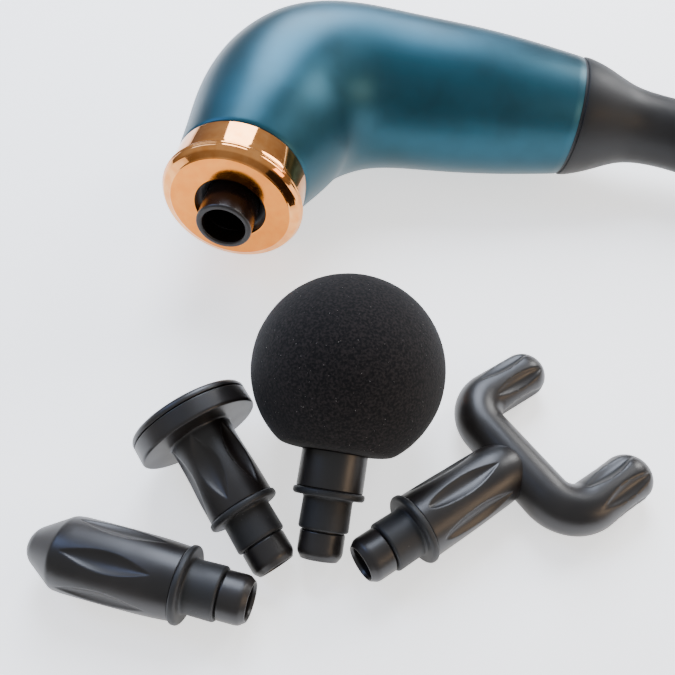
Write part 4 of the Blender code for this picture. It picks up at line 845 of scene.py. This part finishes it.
# %% Sleeve and stem
sleeve_profile = rounded([(5.5, 9.7, 0), (6.55, 9.7, 0.25), (6.9, 9.2, 0.4), (6.8, 1.5, 0.3), (7.1, 1.0, 0.3),
                          (9.35, 1.0, 0.5), (9.9, 0.5, 0.4), (9.9, -0.6, 0.4), (9.5, -1.0, 0.3),
                          (5.5, -1.0, 0)], 5)
STEM = [(0.0, 2.4, 0), (4.3, 2.4, 0.3), (4.3, 16.6, 0.2), (4.7, 17.4, 0.4), (5.0, 17.4, 0.5),
        (6.05, 15.9, 0.7), (6.2, 15.0, 0.4), (6.2, 10.3, 0.3), (5.9, 10.0, 0), (5.2, 10.0, 0),
        (5.2, -1.03, 0)]
for name, place in (("ball", BALL), ("flat", FLAT), ("bullet", BULLET), ("fork", FORK)):
    turned_piece(name + "_plug_sleeve", sleeve_profile, place, sleeve_rubber,
                 name + "_head", name + "_sleeve")
print("made four sleeves")

# %% [markdown]
# ## Scoops
# The shanks are scooped all round, as a rounded cutter would leave them. Each scoop is long and
# narrow, with a crisp edge and a smooth hollow. How far along it a point lies sets the width
# there, and how far across that width sets the depth, as a parabola.

# %% Scoops round a shank
def scoop(across, along, half_width, depth, near_sharp=1.0, far_sharp=1.0):
    """Depth at a point across (metres from the middle line) and along (0 to 1) one scoop."""
    if not 0.0 < along < 1.0:
        return 0.0
    width = half_width * math.sin(math.pi * along) ** (near_sharp if along < 0.5 else far_sharp)
    if abs(across) >= width:
        return 0.0
    return depth * (1.0 - (across / width) ** 2) * (width / half_width)


def scoops_round(count, low, high, half_width, depth, first=0.0, near_sharp=1.0, far_sharp=1.0):
    """A carve for spun(): count scoops between two heights, evenly round the shank."""
    def carve(angle, height, radius):
        pitch = math.tau / count
        offset = (angle - first + pitch / 2.0) % pitch - pitch / 2.0
        along = (height - low * MM) / ((high - low) * MM)
        return scoop(offset * radius, along, half_width * MM, depth * MM, near_sharp, far_sharp)
    return carve


# %% [markdown]
# ## The bullet
# A barrel-shaped body with six almond scoops, a coned shoulder and a round nose for small knots.

# %% Bullet head
bullet_profile = rounded(STEM + [(9.05, -1.03, 0), (9.25, -1.25, 0.15), (9.7, -8.0, 6), (9.85, -20.0, 6),
                                 (9.8, -31.0, 2), (9.55, -33.5, 0.7), (5.4, -40.6, 1.5)], 6)
bullet_profile = bullet_profile[:-1]
NOSE, NOSE_CENTRE, NOSE_STEPS = 5.9 * MM, -38.1 * MM, 12
for step in range(NOSE_STEPS):
    angle = math.radians(-28.0 - 62.0 * step / NOSE_STEPS)
    bullet_profile.append((NOSE * math.cos(angle), NOSE_CENTRE + NOSE * math.sin(angle)))
bullet_profile.append((0.0, NOSE_CENTRE - NOSE))
carve = scoops_round(6, -31.5, -6.5, 2.7, 1.15, first=math.radians(14.0))
bullet = turned_piece("bullet_moulding", finely(bullet_profile, 0.35), BULLET, head_plastic,
                      "bullet_head", "bullet_body", 240, carve)
print("bullet:", len(bullet.polygons), "faces")

# %% [markdown]
# ## The flat head
# A shank with six deep scoops stands on a shallow disc. A front pad is pressed on over the disc,
# so a hairline runs round its side, and the pad's front edge is well rounded to slide on skin.

# %% Flat head
flat_profile = rounded(STEM + [(9.05, -1.03, 0), (9.25, -1.25, 0.15), (9.2, -10.0, 4), (8.9, -19.0, 3),
                               (9.1, -24.4, 0.7), (17.1, -24.4, 0.5), (17.4, -25.0, 0.4),
                               (17.4, -29.45, 0.15), (17.25, -29.6, 0), (0.0, -29.6, 0)], 6)
carve = scoops_round(6, -23.6, -3.4, 3.3, 1.5, first=math.radians(20.0), near_sharp=0.9, far_sharp=0.9)
flat = turned_piece("flat_head_moulding", finely(flat_profile, 0.4), FLAT, head_plastic,
                    "flat_head", "flat_body", 240, carve)
pad_profile = rounded([(0.0, -29.9, 0), (17.25, -29.9, 0), (17.4, -30.05, 0.1), (17.4, -30.9, 0.7),
                       (16.9, -31.8, 0.8), (15.4, -32.1, 0.8), (0.0, -32.1, 0)], 8)
turned_piece("flat_head_pad", pad_profile, FLAT, head_plastic, "flat_head", "flat_pad", 160)
print("flat head:", len(flat.polygons), "faces")

# %% [markdown]
# ## The ball
# Foam round a moulded stem. The stem is turned like the others. The foam is a fine sphere whose
# points are pushed in and out by noise, so that even its outline is soft and grainy, and it is
# flattened where the stem's collar enters. A cloth simulation would do nothing here, since the
# foam is firm and bonded to the stem.

# %% Ball stem and foam
ball_stem_profile = rounded(STEM + [(9.0, -1.03, 0), (9.2, -1.25, 0.15), (9.2, -10.95, 0.1), (9.1, -11.05, 0),
                                    (5.2, -11.05, 0), (5.2, -24.8, 0), (0.0, -24.8, 0)], 5)
turned_piece("ball_stem_moulding", ball_stem_profile, BALL, head_plastic,
             "ball_head", "ball_stem")

CELLS_PER_METRE, CELL_DEPTH = 1500.0, 0.05 * MM
LUMPS_PER_METRE, LUMP_DEPTH = 150.0, 0.06 * MM
FOAM_INSET = 0.08 * MM              # keeps the roughest cells inside the ball's true radius
COLLAR_TOP = 11.1 * MM              # from the flange to the foam
SOFT_EDGE = 1.6 * MM
bm = bmesh.new()
bmesh.ops.create_icosphere(bm, subdivisions=7, radius=BALL_RADIUS)
collar_top = BALL_DISTANCE - COLLAR_TOP
for vertex in bm.verts:
    way = vertex.co.normalized()
    grainy = noise.noise(vertex.co * CELLS_PER_METRE) * CELL_DEPTH
    grainy += noise.noise(vertex.co * LUMPS_PER_METRE) * LUMP_DEPTH
    vertex.co += way * (grainy - FOAM_INSET)
    beyond = vertex.co.z - (collar_top - SOFT_EDGE)
    if beyond > 0.0:
        vertex.co.z -= beyond - SOFT_EDGE * (1.0 - math.exp(-beyond / SOFT_EDGE))
for vertex in bm.verts:
    vertex.co.z -= BALL_DISTANCE
foam_ball = mesh_of(bm, "foam_ball")
foam_ball.shade_smooth()
foam_bore = plain_pin("foam_bore", 5.5, -10.0, -25.1, Matrix.Identity(4), 48)
foam_ball = joined("foam_ball", foam_ball, [foam_bore], 'DIFFERENCE')
foam_ball.transform(BALL)
print("foam:", len(foam_ball.polygons), "faces")

# %% [markdown]
# A little lint always clings to foam. A second tree scatters it: points with a fixed seed on the
# ball's skin, and on each a tiny faceted crumb of a random size.

# %% Lint on the foam
PLACE_SEED, SIZE_SEED = 11, 5
SMALLEST_CRUMB = 0.35               # as a share of the largest


def lint_tree():
    tree, given = tree_with_inputs("lint_on_a_surface", {
        "Surface": "Geometry", "Crumbs Per Square Metre": "Float", "Crumb Radius": "Float",
        "Finish": "Material"})
    spread = add(tree, "GeometryNodeDistributePointsOnFaces", None,
                 {"Mesh": given["Surface"], "Density": given["Crumbs Per Square Metre"], "Seed": PLACE_SEED})
    crumb = add(tree, "GeometryNodeMeshIcoSphere", None,
                {"Radius": given["Crumb Radius"], "Subdivisions": 1})
    size = add(tree, "FunctionNodeRandomValue", {"data_type": 'FLOAT'},
               {2: SMALLEST_CRUMB, 3: 1.0, "Seed": SIZE_SEED})
    copies = add(tree, "GeometryNodeInstanceOnPoints", None,
                 {"Points": spread, "Instance": crumb, "Scale": size.outputs[1]})
    end_in_faces(tree, copies, given["Finish"])
    return tree


lint_mesh = grown("lint", lint_tree(), {"Crumbs Per Square Metre": 60000.0, "Crumb Radius": 0.085 * MM,
                                        "Finish": fibre}, foam_ball.copy())
ball_piece = finish_piece("foam_ball", foam_ball, [foam], "ball_head", ["ball_foam"])
finish_piece("foam_lint", lint_mesh, [fibre], "ball_head", [])
print("lint:", len(lint_mesh.polygons), "faces")

# %% [markdown]
# ## The fork
# A tube bent twice gives the crossbar and the tines, and a scooped shank meets it in a saddle.
# The tube is swept with round ends, its scoops are carved in as it goes, and a Boolean union
# makes the crisp crease of the saddle.

# %% Fork head
BAR, HALF_SPAN, BEND, TINE = 37.0 * MM, 21.5 * MM, 9.0 * MM, 23.5 * MM
BAR_STEPS, BEND_STEPS, TINE_STEPS, END_STEPS = 24, 32, 48, 14
ALMOST_QUARTER = math.radians(86.0)     # the round end's last ring; a pole closes it
TINE_PART = 0.3                     # no scoop where the tube is thinner than this share


def fork_half():
    """Stations (x, z, turn, radius) from the crossbar's middle to a tine's end."""
    corner_x, corner_z = HALF_SPAN - BEND, -BAR - BEND
    tine_end = -BAR - TINE
    stations = [(corner_x * step / BAR_STEPS, -BAR, 0.0, FORK_TUBE) for step in range(1, BAR_STEPS)]
    for step in range(BEND_STEPS + 1):
        turn = QUARTER * step / BEND_STEPS
        x, z = corner_x + BEND * math.sin(turn), corner_z + BEND * math.cos(turn)
        stations.append((x, z, turn, FORK_TUBE))
    for step in range(1, TINE_STEPS):
        z = corner_z + (tine_end - corner_z) * step / TINE_STEPS
        stations.append((HALF_SPAN, z, QUARTER, FORK_TUBE))
    for step in range(END_STEPS + 1):
        turn = ALMOST_QUARTER * step / END_STEPS
        z = tine_end - FORK_TUBE * math.sin(turn)
        stations.append((HALF_SPAN, z, QUARTER, FORK_TUBE * math.cos(turn)))
    return stations


def fork_rings(steps=96):
    half = fork_half()
    other = [(-x, z, -turn, radius) for x, z, turn, radius in reversed(half)]
    carve = scoops_round(6, -44.2, -64.405, 2.4, 1.05, near_sharp=0.9, far_sharp=0.8)
    rings = []
    for x, z, turn, radius in other + [(0.0, -BAR, 0.0, FORK_TUBE)] + half:
        side = Vector((math.sin(turn), 0.0, math.cos(turn)))
        outward = 1.0 if turn >= 0.0 else -1.0
        ring = []
        for step in range(steps):
            angle = math.tau * step / steps
            reach = radius
            if radius > FORK_TUBE * TINE_PART:
                reach -= carve(angle * outward, z, FORK_TUBE)
            ring.append(Vector((x, 0.0, z)) + side * (reach * math.cos(angle))
                        + Vector((0.0, reach * math.sin(angle), 0.0)))
        rings.append(ring)
    end_z = -BAR - TINE - FORK_TUBE
    return [[Vector((-HALF_SPAN, 0.0, end_z))]] + rings + [[Vector((HALF_SPAN, 0.0, end_z))]]


fork_bar = ring_skin("fork_bar", fork_rings())
shank_profile = rounded(STEM + [(9.0, -1.03, 0), (9.2, -1.25, 0.15), (9.1, -14.0, 4), (8.7, -29.0, 3),
                                (8.1, -33.0, 2), (6.9, -36.0, 2), (4.0, -37.6, 2), (0.0, -37.9, 0)], 8)
carve = scoops_round(6, -28.5, -4.0, 2.7, 1.3, first=QUARTER, near_sharp=1.0, far_sharp=0.45)
fork_shank = spun("fork_shank", finely(shank_profile, 0.4), Matrix.Identity(4), 216, carve)
fork = joined("fork_moulding", fork_shank, [fork_bar], 'UNION')
fork.transform(FORK)
finish_piece("fork_moulding", fork, [head_plastic], "fork_head", ["fork_body"])
print("fork:", len(fork.polygons), "faces")

# %% [markdown]
# ## The pieces inside
# The drive, the motor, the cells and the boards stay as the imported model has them. Each takes the
# finish of its trade, set on its own material slot.

# %% Finishes for the pieces inside
INSIDE = {
    inner_plastic: ("handle_core", "joint_collar", "plunger_guide", "cell_holder_front", "cell_holder_rear"),
    milled_aluminium: ("guide_holder", "motor_bracket", "bearing_tube", "board_capacitor"),
    ground_steel: ("wrist_pin", "con_rod", "big_end_bearing", "crank_bolt", "eccentric_wheel",
                   "motor_shaft", "bearing_front", "bearing_rear", "frame_screw_1", "frame_screw_2",
                   "magnet_ring", "button_switch"),
    black_steel: ("rotor_bell", "stator_core"),
    turned_brass: ("counterweight", "small_end_bush"),
    enamelled_copper: ("coil_front", "coil_rear"),
    cell_wrap: ("battery_cell_1", "battery_cell_2", "battery_cell_3"),
    solder_mask: ("controller_board", "button_board"),
    button_plastic: ("controller_chip",),
    socket_steel: ("charge_socket",),
    seal_rubber: ("guide_damper",),
}
for finish, nodes in INSIDE.items():
    for node in nodes:
        slots = frame["nodes"][node].data.materials
        slots.clear()
        slots.append(finish)
print("finished", sum(len(nodes) for nodes in INSIDE.values()), "pieces inside")

# %% [markdown]
# ## The table, the light and the camera
# The set lies on one sheet of white paper. It glows a little, as a light table does, so that it
# stays pale without a lamp strong enough to bleach the teal.

# %% Floor
PAPER_REACH, PAPER_GLOW = 4.0, 1.25      # metres from the middle to an edge, and its light
bm = bmesh.new()
bmesh.ops.create_grid(bm, x_segments=1, y_segments=1, size=PAPER_REACH)
floor_mesh = mesh_of(bm, "pale_floor")
floor = in_scene("pale_floor", floor_mesh)
paper, tree, shader = new_finish("paper_sweep_white", "#F4F3F1", 0.85)
paper_cloud = grain(tree, 6.0)
tree.links.new(blend_colours(tree, paper_cloud, "#F2F1EF", "#F6F5F3"),
               shader.inputs["Base Color"])
shader.inputs["Emission Color"].default_value = linear("#FFFFFF")
shader.inputs["Emission Strength"].default_value = PAPER_GLOW
floor_mesh.materials.append(paper)
print("floor:", len(floor_mesh.polygons), "face")

# %% [markdown]
# Two window-like soft boxes stand behind the gun, a cool one on the left and a low warm one on
# the right. Mirrors show whatever surrounds them, so the sky darkens softly towards the horizon:
# that gives the rose-gold its tan and white.

# %% Lights
def soft_box(name, place, aim, size, power, colour):
    light = bpy.data.lights.new(name, 'AREA')
    light.shape = 'RECTANGLE'
    light.size, light.size_y = size
    light.energy = power
    light.color = linear(colour)[:3]
    item = in_scene(name, light)
    item.location = place
    item.rotation_euler = (Vector(aim) - Vector(place)).to_track_quat('-Z', 'Y').to_euler()


soft_box("window_back", (-0.16, 0.60, 0.66), (-0.08, 0.0, 0.03), (0.45, 0.66), 14.0, "#E2ECFF")
soft_box("window_right", (0.5, 0.55, 0.45), (-0.1, 0.0, 0.03), (0.22, 0.5), 5.0, "#FFFFFF")
soft_box("left_cool", (-0.7, 0.1, 0.7), (-0.05, 0.0, 0.03), (0.3, 0.5), 3.0, "#9FBEFF")
soft_box("right_warm", (0.9, -0.3, 0.45), (0.0, 0.0, 0.02), (0.5, 0.3), 3.0, "#FFD9B0")

SKY_STRENGTH = 0.8
world = bpy.data.worlds.new("studio")
bpy.context.scene.world = world
world.use_nodes = True
sky = world.node_tree
way = add(sky, "ShaderNodeTexCoord")
parts = add(sky, "ShaderNodeSeparateXYZ", None, {"Vector": way.outputs["Generated"]})
rise = add(sky, "ShaderNodeMapRange", None, {"Value": parts.outputs["Z"], "From Min": -0.2, "From Max": 0.9})
shade = blend_colours(sky, rise.outputs["Result"], "#8C857E", "#E8ECF0", 0.15, 0.75)
sky.links.new(shade, sky.nodes["Background"].inputs["Color"])
sky.nodes["Background"].inputs["Strength"].default_value = SKY_STRENGTH
print("lit by four soft boxes and the sky")

# %% [markdown]
# The camera stands low over the heads and looks down on them, close enough that the near things
# look larger. Its lens is given as a focal length for an image 675 wide.

# %% Camera
IMAGE_WIDTH, FOCAL_LENGTH, SENSOR = 675.0, 668.0, 36.0
RIGHT_OF_MOUTH, BEFORE_MOUTH, ABOVE_TABLE = 60.7 * MM, 161.4 * MM, 183.5 * MM
LOOK_DOWN, LOOK_LEFT = math.radians(52.5), math.radians(8.68)
camera_data = bpy.data.cameras.new("camera")
camera_data.sensor_width = SENSOR
camera_data.lens = SENSOR * FOCAL_LENGTH / IMAGE_WIDTH
camera = in_scene("camera", camera_data)
camera.location = (mouth.x + RIGHT_OF_MOUTH, mouth.y - BEFORE_MOUTH, ABOVE_TABLE)
camera.rotation_euler = (QUARTER - LOOK_DOWN, 0.0, LOOK_LEFT)
bpy.context.scene.camera = camera
print("camera at", [round(value / MM) for value in camera.location], "mm")

# %% [markdown]
# ## The count of pieces
# The last cell prints how many pieces were made. The looks may not outgrow the imported
# model.

# %% Count the pieces and finish
print("pieces made:", len(shown))
